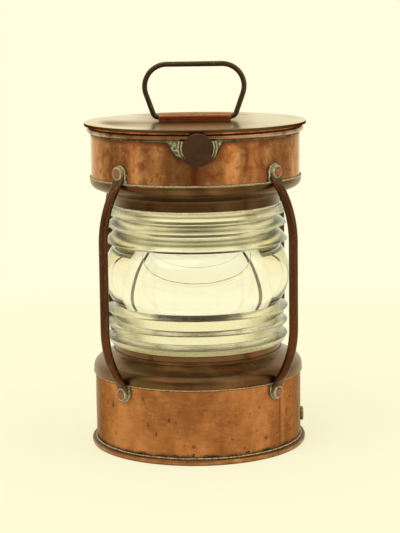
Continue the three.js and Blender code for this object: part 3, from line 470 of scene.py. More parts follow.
def brown_patina(name, seed, line=None, putty=False, tone=0.0):
    """Dark brown tarnish that still shines a little, with fine turned lines and a pale line at a height and
    of a width. It is paler where tone is above 0, and darker where it is below. Old putty lies on what
    stands inside the lens."""
    brown = Finish(name, BROWN, 0.30, 0.95)
    mottle = brown.clouds(22, seed)
    brown.coat(mottle, 0.46, 0.72, 0.8, BROWN_PALE, 0.28)
    brown.coat(mottle, 0.48, 0.28, 0.6, (0.070, 0.036, 0.014), 0.36)
    brown.coat(brown.clouds(30, seed + 9), 0.44, 0.60, 0.6, (0.13, 0.080, 0.032))
    brown.coat(brown.clouds(13, seed + 7), 0.54, 0.70, 0.6, (0.15, 0.046, 0.018))
    # the whole patina is paler where tone is above 0 and darker where it is below
    if tone:
        brown.layer(abs(tone), (0.25, 0.11, 0.05) if tone > 0 else (0.062, 0.022, 0.010))
    turned_lines = brown.clouds(2.2, seed + 2, detail=2, stretch=(60, 60, 1))
    brown.coat(turned_lines, 0.56, 0.72, 0.35, BROWN_PALE, height=0.02)
    brown.coat(turned_lines, 0.44, 0.30, 0.40, NEAR_BLACK)
    # painted sheen: paler towards the left and right as seen, where the rings reflect the bright room at a
    # flat angle
    brown.coat(brown.math("ABSOLUTE", brown.x), 52.0, 88.0, 0.6, BROWN_PALE, 0.30)
    if line:
        height, width = line
        pale = brown.product(brown.near(brown.z, height, width, width), 0.8)
        brown.coat(mottle, 0.30, 0.50, pale, SOLDER, 0.45)
    brown.waves(22, seed + 5, 0.22)
    brown.layer(inside_drum(brown), TINNED, 0.5, 0.5)
    if putty:
        away = brown.distance(brown.x, brown.y)
        bedded = brown.rise(away, SPIGOT_RADIUS + 1.2, SPIGOT_RADIUS + 0.6)
        brown.layer(bedded, OLIVE, 0.8, 0.0)
        brown.coat(brown.z, LENS_MIDDLE, LENS_MIDDLE - 10.0, bedded, PUTTY, 0.9, 0.0)
    return brown.done()


def bead_copper():
    bead = Finish("bead_copper", (0.26, 0.115, 0.058), 0.22)
    mottle = bead.clouds(14, 2.0, detail=4)
    # painted reflection: the ring turns paler towards the sides as seen, more widely on the right
    sideways = bead.math("MAXIMUM", bead.rise(bead.x, 10.0, 60.0), bead.rise(bead.x, -60.0, -85.0))
    bead.coat(mottle, 0.30, 0.55, sideways, (0.52, 0.30, 0.17), 0.26)
    bead.coat(mottle, 0.50, 0.32, 0.8, (0.15, 0.056, 0.026), 0.34)
    bead.coat(bead.clouds(2.2, 3.0, detail=4), 0.58, 0.76, 0.25, BROWN, 0.45, height=-0.01)
    bead.waves(14, 7.0, 0.25)
    return bead.done()


def foot_copper():
    """The foot ring: bright along its top, dark where it meets the table."""
    foot = Finish("foot_copper", (0.36, 0.145, 0.056), 0.30)
    mottle = foot.clouds(12, 5, detail=4)
    foot.layer(foot.rise(mottle, 0.48, 0.70), (0.50, 0.235, 0.10), 0.26)
    foot.coat(mottle, 0.46, 0.28, 0.8, COPPER_STAIN_AND_SHADE, 0.40)
    foot.coat(foot.z, 2.0, 0.5, 0.85, BROWN, 0.45)
    foot.coat(foot.z, 3.9, 4.9, 0.9, BROWN, 0.5)
    foot.waves(14, 8, 0.2)
    return foot.done()


def rod_copper(name, light, dark, seed, roughness=0.34):
    rod = Finish(name, light, roughness, 0.95)
    rod.coat(rod.clouds(18, seed, stretch=(1, 1, 3)), 0.56, 0.34, 0.8, dark, roughness + 0.06)
    grain = rod.clouds(1.8, seed + 1, detail=4, stretch=(1, 1, 3))
    rod.coat(grain, 0.60, 0.76, 0.25, SOLDER, height=0.01)
    rod.coat(grain, 0.42, 0.28, 0.35, NEAR_BLACK)
    rod.waves(9, seed + 2, 0.06)
    return rod


def guard_rod_copper():
    """Brown copper, crusted towards the eyes."""
    rod = rod_copper("guard_rod", (0.112, 0.042, 0.0155), (0.070, 0.027, 0.010), 3.0)
    for height, upright in ((HIGH_RIVET, 1.0), (LOW_RIVET, -1.0)):
        beyond = rod.product(rod.math("SUBTRACT", rod.z, height), upright)
        crusted = rod.ragged(beyond, 9.0, 2.4, 12, detail=4)
        rod.coat(crusted, -6.0, 3.0, 0.7, OLIVE, 0.6, 0.4)
        rod.coat(crusted, 1.0, 7.0, 0.5, VERDIGRIS, 0.8, 0.1)
    return rod.done()


def crust(name, light, dark, seed):
    """Pale verdigris or solder, crumbly and matt."""
    pale = Finish(name, light, 0.85, 0.0)
    pale.layer(pale.rise(pale.clouds(1.8, seed, detail=5, rough=0.6), 0.55, 0.38), dark, 0.9)
    pale.layer(pale.rise(pale.clouds(0.9, seed + 3), 0.58, 0.72), COPPER_STAIN_AND_SHADE, 0.7)
    pale.layer(pale.clouds(0.8, seed + 1, detail=4), height=0.15)
    return pale.done()


def lid_copper():
    """Smooth pale copper with a painted dark reflection of the keeper and bail along its middle, bright
    towards the sides, with a brown edge.
    """
    lid = Finish("lid_copper", (0.62, 0.42, 0.25), 0.17)
    lid.edge = (0.86, 0.86, 0.83, 1)
    mottle = lid.clouds(38, 6, detail=4)
    lid.layer(lid.rise(mottle, 0.50, 0.70), (0.70, 0.52, 0.34))
    lid.coat(mottle, 0.46, 0.28, 0.5, (0.44, 0.26, 0.13), 0.24, edge=(0.70, 0.62, 0.52))
    # painted reflection: darker along the middle, about as wide as the keeper, where the keeper and bail are
    # mirrored
    sideways = lid.ragged(lid.math("ABSOLUTE", lid.x), 16.0, 16, 11)
    lid.coat(sideways, 70.0, 38.0, 0.7, (0.34, 0.17, 0.075), 0.20, edge=(0.62, 0.46, 0.34))
    lid.coat(sideways, 49.0, 36.0, 0.8, (0.20, 0.105, 0.042), 0.22, edge=(0.42, 0.28, 0.16))
    lid.coat(lid.clouds(2.2, 7), 0.58, 0.76, 0.2, (0.30, 0.16, 0.075), 0.3)
    rim_from, rim_to = LID_TOP - 0.1, LID_TOP - 0.45
    lid.coat(lid.z, rim_from, rim_to, 0.97, (0.105, 0.046, 0.020), 0.36, edge=(0.36, 0.20, 0.11))
    lid.layer(lid.product(lid.specks(9, 0.6, 0.2, 3), 0.7), BROWN, 0.4)
    lid.waves(48, 9, 0.4)
    under = lid.rise(lid.z, LID_UNDER + 0.4, LID_UNDER + 0.1)
    lid.coat(lid.distance(lid.x, lid.y), LID_RADIUS - 0.5, LID_RADIUS - 0.9, under, TINNED, 0.5, 0.5)
    return lid.done()


def plain_metal(name, light, dark, roughness, seed, metallic=1.0):
    metal = Finish(name, light, roughness, metallic)
    metal.layer(metal.rise(metal.clouds(9, seed, detail=4), 0.54, 0.34), dark, roughness + 0.08)
    grain = metal.clouds(1.4, seed + 1, detail=4)
    metal.coat(grain, 0.54, 0.74, 0.2, light, roughness + 0.05, height=0.01)
    return metal.done()


def flange_olive():
    """Olive tarnish with a pale crumbly edge, which fades out below the knob, where painted shade darkens
    the flange.
    """
    flange = Finish("flange_olive", OLIVE, 0.6, 0.4)
    grain = flange.clouds(1.4, 5, detail=4)
    flange.coat(grain, 0.60, 0.44, 0.9, BROWN, 0.6)
    away = flange.distance(flange.x, flange.math("SUBTRACT", flange.z, CATCH_HEIGHT))
    rough = flange.ragged(away, 1.6, 2.0, 9, detail=4)
    lips = flange.math("MAXIMUM", flange.rise(rough, 16.8, 17.2), flange.near(rough, 15.0, 0.2, 0.4))
    aloft = flange.rise(flange.z, CATCH_HEIGHT - 12.0, CATCH_HEIGHT - 6.0)
    flange.coat(grain, 0.34, 0.50, flange.product(lips, aloft), VERDIGRIS, 0.85, 0.0, 0.08)
    # painted shade: the flange darkens below the knob
    shaded = flange.rise(flange.z, CATCH_HEIGHT - 5.0, CATCH_HEIGHT - 11.0)
    flange.layer(shaded, (0.050, 0.020, 0.009), 0.7)
    flange.layer(grain, height=0.08)
    return flange.done()


def rivet_copper():
    """A copper-red dome, crusted in its pores."""
    dome = Finish("rivet_copper", (0.33, 0.13, 0.072), 0.40, 0.9)
    grain = dome.clouds(1.1, 5, detail=4)
    dome.coat(grain, 0.50, 0.70, 0.5, (0.46, 0.22, 0.13), 0.35)
    dome.coat(grain, 0.46, 0.30, 0.6, VERDIGRIS_DARK, 0.7, 0.2)
    dome.layer(dome.clouds(1.8, 8, detail=2), height=0.12)
    return dome.done()


def lens_glass():
    """Pressed glass with slight waves, coloured by the depth of glass that is looked through. The belt is
    clear, and the ribs are duller from fine scratches, with painted dark olive bands along their middles
    that stand in for the shade seen through them."""
    clear = Finish("lens_glass", (1.0, 1.0, 1.0), 0.0, 0.0)
    outside = clear.math("SUBTRACT", 1.0, inside_drum(clear))
    above = clear.math("SUBTRACT", clear.z, LENS_MIDDLE)
    ribbed = clear.product(clear.rise(clear.math("ABSOLUTE", above), 26.5, 29.0), outside)
    clear.layer(ribbed, (0.985, 0.955, 0.79))
    cloud = clear.ragged(above, 0.8, 30, 14, detail=2, stretch=(1, 1, 0.2))
    facing = clear.node("ShaderNodeLayerWeight", {"Blend": 0.5}).outputs["Facing"]
    ahead = clear.product(outside, clear.rise(facing, 0.55, 0.22))
    # painted shade: dark olive bands on the ribs stand in for the dark inside seen through them; the upper
    # three fade where the glass turns away from the view
    for low, full, high, seen in (
        (33.0, 35.5, 39.4, ahead), (46.6, 48.4, 50.8, ahead), (58.4, 60.4, 62.8, ahead),
        (-57.2, -56.2, -54.2, outside),
    ):
        see_through_shade = clear.math("MINIMUM", clear.rise(cloud, low, full), clear.rise(cloud, high, full))
        clear.layer(clear.product(see_through_shade, seen), (0.10, 0.082, 0.030))
    clear.layer(clear.product(ribbed, clear.clouds(0.25, 5, detail=0)), height=0.035)
    clear.waves(22, 5, 0.05)
    clear.shader.inputs["Transmission Weight"].default_value = 1.0
    clear.shader.inputs["IOR"].default_value = 1.5
    deep = clear.node("ShaderNodeVolumeAbsorption", {"Color": (0.893, 0.804, 0.464, 1), "Density": 14.0})
    clear.put(clear.output().inputs["Volume"], deep.outputs[0])
    return clear.done()


def matt(name, light, dark, roughness, size, seed):
    plain = Finish(name, light, roughness, 0.0)
    plain.layer(plain.rise(plain.clouds(size, seed, detail=5), 0.56, 0.34), dark, roughness + 0.08)
    plain.layer(plain.clouds(size / 4, seed + 2), height=0.03)
    return plain.done()


PAINT = {
    "base": base_copper(),
    "top": top_copper(),
    "base_patina": brown_patina("base_patina", 11.0, (BASE_SKIRT_BOTTOM + 0.1, 0.3)),
    "top_patina": brown_patina("top_patina", 15.0, (TOP_SKIRT_TOP - 0.3, 0.5)),
    "lower_collar": brown_patina("lower_collar_patina", 19.0, putty=True, tone=0.40),
    "upper_collar": brown_patina("upper_collar_patina", 23.0, putty=True, tone=-0.35),
    "bead": bead_copper(),
    "foot": foot_copper(),
    "rod": guard_rod_copper(),
    "rivet": rivet_copper(),
    "verdigris": crust("verdigris", VERDIGRIS, VERDIGRIS_DARK, 4.0),
    "solder": crust("solder", SOLDER, BROWN_PALE, 9.0),
    "lid": lid_copper(),
    "keeper": plain_metal("keeper_copper", (0.40, 0.155, 0.066), (0.30, 0.108, 0.046), 0.34, 8.0),
    "bail": rod_copper("bail_wire", (0.085, 0.052, 0.026), (0.055, 0.034, 0.017), 7.0).done(),
    "knob": plain_metal("knob_brown", (0.070, 0.029, 0.012), (0.056, 0.023, 0.009), 0.60, 5.0, 0.7),
    "flange": flange_olive(),
    "brass": plain_metal("old_brass", (0.30, 0.21, 0.09), (0.16, 0.11, 0.05), 0.38, 6.0),
    "steel": plain_metal("steel", (0.50, 0.49, 0.46), (0.30, 0.28, 0.25), 0.30, 9.0),
    "lens": lens_glass(),
    "gasket": matt("gasket", PUTTY, (0.62, 0.56, 0.38), 0.85, 3, 2.0),
    "porcelain": matt("porcelain", (0.78, 0.75, 0.67), (0.62, 0.58, 0.48), 0.25, 12, 4.0),
}


# ---- Shapes ----------------------------------------------------------------------------------------------

def upright(radius, along, turn):
    return Vector((radius * math.sin(turn), -radius * math.cos(turn), along))


def at(azimuth, out, side, height):
    """A place out from the axis at an azimuth from the front, and sideways from there."""
    return Vector((
        out * math.sin(azimuth) + side * math.cos(azimuth),
        -out * math.cos(azimuth) + side * math.sin(azimuth),
        height,
    ))


def outward(azimuth, height):
    """Turns outlines about a radius of the drum, at an azimuth and a height."""
    return lambda radius, along, turn: at(
        azimuth, along, radius * math.cos(turn), height + radius * math.sin(turn))


def crosswise(y, z):
    """Turns outlines about a line along X."""
    return lambda radius, along, turn: Vector((
        along, y + radius * math.cos(turn), z + radius * math.sin(turn)))


def lengthwise(x, z):
    """Turns outlines about a line along Y."""
    return lambda radius, along, turn: Vector((
        x + radius * math.cos(turn), along, z + radius * math.sin(turn)))


def filleted(corners, radius=0, steps=4):
    """Rounds an outline's corners, but none on the axis. A corner is (radius, along), or has a fillet of its
    own as a third value."""
    outline = []
    for i, corner in enumerate(corners):
        here = Vector(corner[:2])
        wanted = corner[2] if len(corner) > 2 else radius
        back = Vector(corners[i - 1][:2]) - here
        ahead = Vector(corners[(i + 1) % len(corners)][:2]) - here
        plain = wanted <= 0 or min(here.x, back.length, ahead.length) < 1e-6
        if plain or back.angle(ahead) > math.radians(176):
            outline.append(here)
            continue
        reach = min(wanted / math.tan(back.angle(ahead) / 2), 0.45 * back.length, 0.45 * ahead.length)
        start, end = here + back.normalized() * reach, here + ahead.normalized() * reach
        for step in range(steps + 1):
            t = step / steps
            outline.append(start * (1 - t) ** 2 + here * (2 * t * (1 - t)) + end * t ** 2)
    return outline


def strip(inner, outer, bottom, top, fillet):
    return filleted([(inner, bottom), (outer, bottom), (outer, top), (inner, top)], fillet)


def divided(outline, longest, closed):
    """Splits long edges, with a point close to each end that keeps the shading of flat faces even."""
    hold = 0.4
    points = []
    for i, here in enumerate(outline):
        points.append(here)
        ahead = outline[(i + 1) % len(outline)]
        length = (ahead - here).length
        if length > 4 * hold and (closed or i + 1 < len(outline)):
            inner = max(1, math.ceil((length - 2 * hold) / longest))
            for j in range(inner + 1):
                points.append(here.lerp(ahead, (hold + (length - 2 * hold) * j / inner) / length))
    return points


def arc(centre, radius_r, radius_z, start, end, steps):
    turns = [start + (end - start) * i / steps for i in range(steps + 1)]
    return [(centre[0] + radius_r * math.cos(t), centre[1] + radius_z * math.sin(t)) for t in turns]


def skinned(rings, loop=False, closed=True):
    """Corners and faces of a skin over rings of points. Its ends are closed too, unless it is a loop."""
    sides = len(rings[0])
    corners = [p for ring in rings for p in ring]
    faces = []
    for i in range(len(rings) if loop else len(rings) - 1):
        here, ahead = i * sides, (i + 1) % len(rings) * sides
        for j in range(sides if closed else sides - 1):
            k = (j + 1) % sides
            faces.append((here + j, here + k, ahead + k, ahead + j))
    if not loop:
        faces.append(tuple(range(sides)))
        faces.append(tuple(range(len(corners) - 1, len(corners) - 1 - sides, -1)))
    return corners, faces


def lathed(outline, closed=True, place=upright, segments=SEGMENTS, warp=None):
    """Corners and faces of an outline turned all the way round."""
    rings = []
    for i in range(segments):
        turn = TAU * i / segments
        ring = []
        for radius, along in outline:
            out, up = warp(turn, radius, along) if warp else (0, 0)
            ring.append(place(radius + out, along + up, turn))
        rings.append(ring)
    return skinned(rings, loop=True, closed=closed)


def dents(size, depth, seed):
    """Moves a turned skin inwards by up to a depth, in soft dents of a size."""
    offset = Vector((seed, seed * 0.7, seed * 1.3))

    def warp(turn, radius, along):
        value = noise.noise(upright(radius, along, turn) / size + offset)
        return -depth * (0.5 + 0.5 * value), 0
    return warp


def crumbs(size, depth, seed, beyond=0):
    """Moves a turned skin both ways by up to a depth, in rough lumps of a size, beyond a place along it."""
    offset = Vector((seed, seed * 0.7, seed * 1.3))

    def warp(turn, radius, along):
        where = upright(radius, along, turn) / size + offset
        amount = depth if along > beyond else 0
        return amount * noise.noise(where), amount * noise.noise(where + Vector((7, 3, 5)))
    return warp


def meshed(name, shape):
    """A mesh in metres of corners and faces in millimetres."""
    corners, faces = shape
    mesh = bpy.data.meshes.new(name)
    mesh.from_pydata([corner * MM for corner in corners], [], faces)
    cleaned = bmesh.new()
    cleaned.from_mesh(mesh)
    bmesh.ops.remove_doubles(cleaned, verts=cleaned.verts, dist=1e-6)
    bmesh.ops.dissolve_degenerate(cleaned, edges=cleaned.edges, dist=1e-7)
    bmesh.ops.recalc_face_normals(cleaned, faces=cleaned.faces)
    cleaned.to_mesh(mesh)
    cleaned.free()
    return mesh


def dressed(made, paint, node, body, sharp):
    """Paints a piece, puts it on the body it rides on, and hides the CAD node it stands for."""
    made.data.materials.clear()
    made.data.materials.append(PAINT[paint])
    made.data.shade_smooth()
    made.data.set_sharp_from_angle(angle=math.radians(sharp))
    if body:
        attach(made, body)
    if node:
        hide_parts(node)
    return made


def piece(name, shape, paint, node=None, body="lantern", sharp=50):
    return dressed(placed(name, meshed(name, shape)), paint, node, body, sharp)


def turned(name, outline, slot, paint, node=None, body="lantern", longest=None, closed=True, **lathing):
    """A piece turned from an outline. Its edges are split where a longest one is given, and it is open along
    the axis if it isn't closed."""
    if longest:
        outline = divided(outline, longest, closed)
    return piece(name, lathed(outline, closed, **lathing), paint, node, body)


def softened(node, paint, body="lantern"):
    """A CAD node's own shape with its edges rounded over."""
    made = placed(f"{node}_shaped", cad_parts[node].data.copy())
    joined = bmesh.new()
    joined.from_mesh(made.data)
    bmesh.ops.remove_doubles(joined, verts=joined.verts, dist=1e-6)
    bmesh.ops.dissolve_limit(joined, angle_limit=math.radians(1), verts=joined.verts, edges=joined.edges)
    joined.to_mesh(made.data)
    joined.free()
    bevel = made.modifiers.new("edges", "BEVEL")
    bevel.width = 0.25 * MM
    bevel.segments = 2
    bevel.limit_method = "ANGLE"
    bevel.angle_limit = math.radians(40)
    bevel.harden_normals = True
    dressed(made, paint, node, body, 40)


# ---- Drums -----------------------------------------------------------------------------------------------

def half_round(inside, bulge, bottom, height, flat=0):
    bead = arc((inside + flat, bottom + height / 2), bulge - flat, height / 2, -math.pi / 2, math.pi / 2, 14)
    return [(inside, bottom), *bead, (inside, bottom + height)]


def shoulder(bottom, skirt, bend, slope):
    """Outline of a shoulder that stands up from its skirt, over a bend and a slope to the neck."""
    steep = math.pi / 2 - slope
    centre = (SKIRT_RADIUS - bend, bottom + skirt)
    start = (centre[0] + bend * math.sin(slope), centre[1] + bend * math.cos(slope))
    neck = start[1] + (start[0] - NECK_RADIUS) * math.tan(slope)
    top = neck + NECK_FILLET * math.tan(steep / 2) + NECK_EDGE
    inner = neck - SHEET / math.cos(slope) - SHEET * math.tan(slope)
    return filleted([
        (SKIRT_RADIUS - SHEET, bottom, 0.2), (SKIRT_RADIUS, bottom, 0.35),
        *arc(centre, bend, bend, 0, steep, 12),
        (NECK_RADIUS, neck, NECK_ROUND), (NECK_RADIUS, top, 0.35),
        (NECK_RADIUS - SHEET, top, 0.2), (NECK_RADIUS - SHEET, inner),
        *arc(centre, bend - SHEET, bend - SHEET, steep, 0, 8),
    ], steps=6)


def make_drums():
    wall = WALL_RADIUS
    plate = strip(0, wall, 0, PLATE, 0.3)
    turned("base_plate_sheet", plate, "copper", "bead", "base_plate", longest=12)
    for level, seed in (("base", 3), ("top", 8)):
        sheet = strip(wall - SHEET, wall, *heights(f"{level}_wall"), 0.2)
        turned(f"{level}_wall_sheet", sheet, "copper", level, f"{level}_wall", longest=3,
               warp=dents(24, 0.22, seed))

    foot = half_round(wall + GAP, FOOT_BULGE, 0, FOOT_HEIGHT, FOOT_FLAT)
    turned("foot_bead", foot, "copper_bead", "foot", "foot_ring")
    rim = half_round(wall + GAP, RIM_BULGE, RIM_BOTTOM, RIM_TOP - RIM_BOTTOM)
    turned("rim_bead", rim, "copper_bead", "bead", "top_rim_ring", warp=dents(20, 0.15, 2))

    base = shoulder(BASE_SKIRT_BOTTOM, BASE_SKIRT_LENGTH, BASE_BEND, BASE_SLOPE)
    turned("base_shoulder_cap", base, "patina", "base_patina", "base_shoulder", longest=4)
    upturned = shoulder(0, TOP_SKIRT_LENGTH, TOP_BEND, TOP_SLOPE)
    hung = [Vector((p.x, TOP_SKIRT_TOP - p.y)) for p in reversed(upturned)]
    turned("top_shoulder_cap", hung, "patina", "top_patina", "top_shoulder", longest=4)


# ---- Lens ------------------------------------------------------------------------------------------------

def make_collar(level, foot, seat, up):
    """A stepped collar: a ring inside the neck, a seat for the lens, and a spigot into its bore."""
    spigot, under = seat + SPIGOT_LENGTH * up, seat - SHEET * up
    outline = filleted([
        (COLLAR_RADIUS - SHEET, foot, 0.2), (COLLAR_RADIUS, foot, 0.2),
        (COLLAR_RADIUS, seat), (SPIGOT_RADIUS, seat),
        (SPIGOT_RADIUS, spigot, 0.2), (SPIGOT_RADIUS - SHEET, spigot, 0.2),
        (SPIGOT_RADIUS - SHEET, under), (COLLAR_RADIUS - SHEET, under),
    ], 0.5)
    turned(f"{level}_lens_collar_ring", outline, "patina", f"{level}_collar", f"{level}_lens_collar",
           longest=4)


def ribs(start, tips, rises, shares, edge):
    """Ribs whose sloped ledges face the belt, as (radius, distance from the lens's middle, fillet). They
    start at a distance from the middle; each tip has a depth of glass, a rise from the ledge's root and a
    share of the height, and the edge is the depth of glass at the lens's end."""
    zone = (LENS_TOP - LENS_BOTTOM) / 2 - start
    roots = [(wall, 0.4) for wall in ROOT_WALLS[1:]] + [(edge, 0.7)]
    corners = []
    height = start
    for wall, rise, share, (root, fillet) in zip(tips, rises, shares, roots):
        tip = Vector((LENS_BORE + wall, height + rise))
        height += zone * share
        end = Vector((LENS_BORE + root, height))
        corners.append((*tip, 0.7))
        for part in (1 / 3, 2 / 3):
            swell = Vector((0.35, 0)) * math.sin(math.pi * part)
            corners.append((*(tip.lerp(end, part) + swell), 3.0))
        corners.append((*end, fillet))
    return corners


def lens_outline():
    upper = ribs(
        BELT_TOP_RISE, tips=(15.2, 14.3, 13.4), rises=(3.1, 3.6, 3.2), shares=(0.402, 0.32, 0.278), edge=9.8)
    lower = ribs(
        BELT_BOTTOM_DROP, tips=(15.3, 15.0, 14.6), rises=(3.9, 2.4, 2.3), shares=(0.416, 0.346, 0.238),
        edge=11.6)
    half = (BELT_TOP_RISE + BELT_BOTTOM_DROP) / 2
    curve = (half ** 2 + BELT_CROWN ** 2) / (2 * BELT_CROWN)
    reach = math.asin(half / curve)
    crown = LENS_BORE + ROOT_WALLS[0] + BELT_CROWN
    centre = (crown - curve, LENS_MIDDLE + (BELT_TOP_RISE - BELT_BOTTOM_DROP) / 2)
    return filleted([
        (LENS_BORE, LENS_BOTTOM, 0.5),
        *[(r, LENS_MIDDLE - d, f) for r, d, f in reversed(lower)],
        *arc(centre, curve, curve, -reach, reach, 40),
        *[(r, LENS_MIDDLE + d, f) for r, d, f in upper],
        (LENS_BORE, LENS_TOP, 0.5),
    ])


def make_lens():
    turned("lens_pressed", lens_outline(), "lens_glass", "lens", "lens", longest=4, segments=2 * SEGMENTS)
    lower_seat = heights("lower_lens_gasket")[0] - GAP
    upper_seat = heights("upper_lens_gasket")[1] + GAP
    make_collar("lower", lower_seat - COLLAR_HEIGHT, lower_seat, 1)
    make_collar("upper", heights("upper_lens_collar")[1], upper_seat, -1)
    outer = COLLAR_RADIUS - GAP
    for level, bottom in (("lower", lower_seat + GAP), ("upper", upper_seat - GAP - PACKING_HEIGHT)):
        packing = strip(outer - PACKING_WIDTH, outer, bottom, bottom + PACKING_HEIGHT, 0.25)
        turned(f"{level}_packing", packing, "gasket", "gasket", f"{level}_lens_gasket", longest=4)


# ---- Guard rods ------------------------------------------------------------------------------------------

def rod_half():
    """Stations from the rod's middle to the top of its eye: height, distance out, lean, half width and
    half thickness, and how square the section is."""
    sine, cosine = math.sin(ROD_LEAN), math.cos(ROD_LEAN)
    bend_end = ROD_REACH - ROD_BEND * (1 - cosine)
    kink_out = EYE_RADIUS_OUT + KINK_RADIUS * (1 - cosine)
    length = (bend_end - kink_out) / sine
    kink_height = RIVET_OFFSET - EYE_TO_KINK - KINK_RADIUS * sine
    bend_height = kink_height - length * cosine
    straight = bend_height - ROD_BEND * sine
    flat = EYE_THICKNESS / 2
    stations = [(straight * i / 8, ROD_REACH, 0, ROD_RADIUS, ROD_RADIUS, 2) for i in range(9)]
    for i in range(1, 13):
        lean = ROD_LEAN * i / 12
        stations.append((straight + ROD_BEND * math.sin(lean), ROD_REACH - ROD_BEND * (1 - math.cos(lean)),
                         lean, ROD_RADIUS, ROD_RADIUS, 2))
    for i in range(1, 10):
        gone = 0.85 * length * i / 9
        done = (i / 9) ** 1.5
        stations.append((
            bend_height + gone * cosine, bend_end - gone * sine, ROD_LEAN,
            ROD_RADIUS + (EYE_NECK - ROD_RADIUS) * done ** 1.5,
            ROD_RADIUS + (flat - ROD_RADIUS) * done, 2 + 3 * done,
        ))
    for i in range(7):
        lean = ROD_LEAN * (1 - i / 6)
        stations.append((kink_height + KINK_RADIUS * (sine - math.sin(lean)),
                         EYE_RADIUS_OUT + KINK_RADIUS * (1 - math.cos(lean)), lean, EYE_NECK, flat, 5))
    for i in range(13):
        turn = math.pi / 2 * i / 12
        half = max(EYE_RADIUS * math.cos(turn), 0.05)
        thick = flat if i < 10 else flat * (0.92, 0.75, 0.3)[i - 10]
        stations.append((RIVET_OFFSET + EYE_RADIUS * math.sin(turn), EYE_RADIUS_OUT, 0, half, thick, 5))
    return stations


def rod_ring(station, azimuth, sides=28):
    height, out, lean, half, thick, square = station
    ring = []
    for i in range(sides):
        turn = TAU * i / sides
        side = half * math.copysign(abs(math.cos(turn)) ** (2 / square), math.cos(turn))
        away = thick * math.copysign(abs(math.sin(turn)) ** (2 / square), math.sin(turn))
        up = ROD_MIDDLE + height + away * math.sin(lean)
        ring.append(at(azimuth, out + away * math.cos(lean), side, up))
    return ring


def make_rods():
    upper = rod_half()
    lower = [(-height, out, -lean, *section) for height, out, lean, *section in reversed(upper[1:])]
    back, face = RIVET_BACK + SHEET, EYE_RADIUS_OUT + EYE_THICKNESS / 2 + FIT
    rivet = filleted([
        (0, RIVET_BACK), (RIVET_CLENCH, RIVET_BACK), (RIVET_CLENCH, back),
        (RIVET_SHANK, back, 0), (RIVET_SHANK, face, 0),
        (RIVET_HEAD, face, 0.1), (4.5, face + 0.8, 0.4), (3.3, face + 0.8), (2.9, face + 1.9, 0.9),
        (1.4, face + 2.6, 0.8), (0, face + 2.7),
    ], 0.2)
    for number, (corner, degrees) in enumerate(CORNERS.items()):
        azimuth = math.radians(degrees)
        rings = [rod_ring(station, azimuth) for station in lower + upper]
        piece(f"guard_rod_bar_{corner}", skinned(rings), "rod", f"guard_rod_{corner}")
        for level, height in (("lower", LOW_RIVET), ("upper", HIGH_RIVET)):
            turned(f"rivet_head_{level}_{corner}", rivet, "rivet", "rivet", f"rivet_{level}_{corner}",
                   closed=False, place=outward(azimuth, height), segments=40,
                   warp=crumbs(2.0, 0.18, number * 3 + height, beyond=face))


# ---- Lid and bail ----------------------------------------------------------------------------------------

def carved(target, corner_low, corner_high):
    """Cuts a box out of a piece for good."""
    low, high = Vector(corner_low) * MM, Vector(corner_high) * MM
    mesh = bpy.data.meshes.new("cutter")
    box = bmesh.new()
    bmesh.ops.create_cube(box, size=1, matrix=Matrix.LocRotScale((low + high) / 2, None, high - low))
    box.to_mesh(mesh)
    box.free()
    cutter = placed("cutter", mesh)
    cut = target.modifiers.new("notch", "BOOLEAN")
    cut.object = cutter
    cut.solver = "EXACT"
    graph = bpy.context.evaluated_depsgraph_get()
    made = bpy.data.meshes.new_from_object(target.evaluated_get(graph))
    target.modifiers.remove(cut)
    target.data = made
    bpy.data.objects.remove(cutter)


def make_lid():
    rim, inside, edge = LID_RADIUS, LID_RADIUS - LID_EDGE, LID_TOP - LID_RIM
    outline = filleted([
        (0, LID_UNDER), (inside, LID_UNDER, 0.5), (inside, edge, 0.3), (rim, edge, 0.45),
        (rim, LID_TOP, 0.8), (0, LID_TOP),
    ], steps=6)
    hollow = dents(60, 0.35, 12)

    def warp(turn, radius, along):
        fade = min(1, radius / 20) * min(1, max(0, (rim - 4 - radius) / 14))
        return 0, hollow(turn, radius, LID_TOP)[0] * fade
    lid = turned("lid_sheet", outline, "lid_copper", "lid", "lid", "lid", longest=5, closed=False, warp=warp)
    carved(lid, (-NOTCH, rim - 4, edge - 4), (NOTCH, rim + 4, LID_UNDER))


def make_keeper():
    """Copper sheet rolled round the bail's foot, with a flange along each side."""
    centre = Vector((0, BAIL_AXIS))
    drop = math.asin((KEEPER_OUTSIDE - KEEPER_SHEET) / KEEPER_OUTSIDE)
    edge = KEEPER_OUTSIDE * math.cos(drop) + KEEPER_FLANGE
    top = KEEPER_BOTTOM + KEEPER_SHEET
    outline = filleted([
        (-edge, KEEPER_BOTTOM), (edge, KEEPER_BOTTOM, 0.1), (edge, top, 0.3),
        *arc(centre, KEEPER_OUTSIDE, KEEPER_OUTSIDE, -drop, math.pi + drop, 30), (-edge, top),
    ])
    end, steps = KEEPER_LENGTH / 2, 24
    inner_end = end - 0.25
    places = [-end, *[inner_end * (2 * i / steps - 1) for i in range(steps + 1)], end]
    loops = []
    for p in outline:
        out = (p - centre).normalized()
        bore = centre + out * KEEPER_BORE
        skin = []
        for x in places:
            dip = 0.12 if abs(x) == end else 0.0
            if p.y > KEEPER_BOTTOM + 1:
                dip += max(0, 0.10 * noise.noise(Vector((x / 9, p.x / 5, p.y / 5))))
            skin.append(Vector((x, *(p - out * dip))))
        loops.append(skin + [Vector((x, *bore)) for x in reversed(places)])
    piece("keeper_roll", skinned(loops, loop=True), "keeper", "bail_keeper", "lid", sharp=35)


def bent(x, z, radius, start, end, steps):
    """Stations of a bend about a centre: x, z and heading."""
    headings = [start + (end - start) * i / steps for i in range(steps + 1)]
    return [(x + radius * math.sin(h), z - radius * math.cos(h), h) for h in headings]


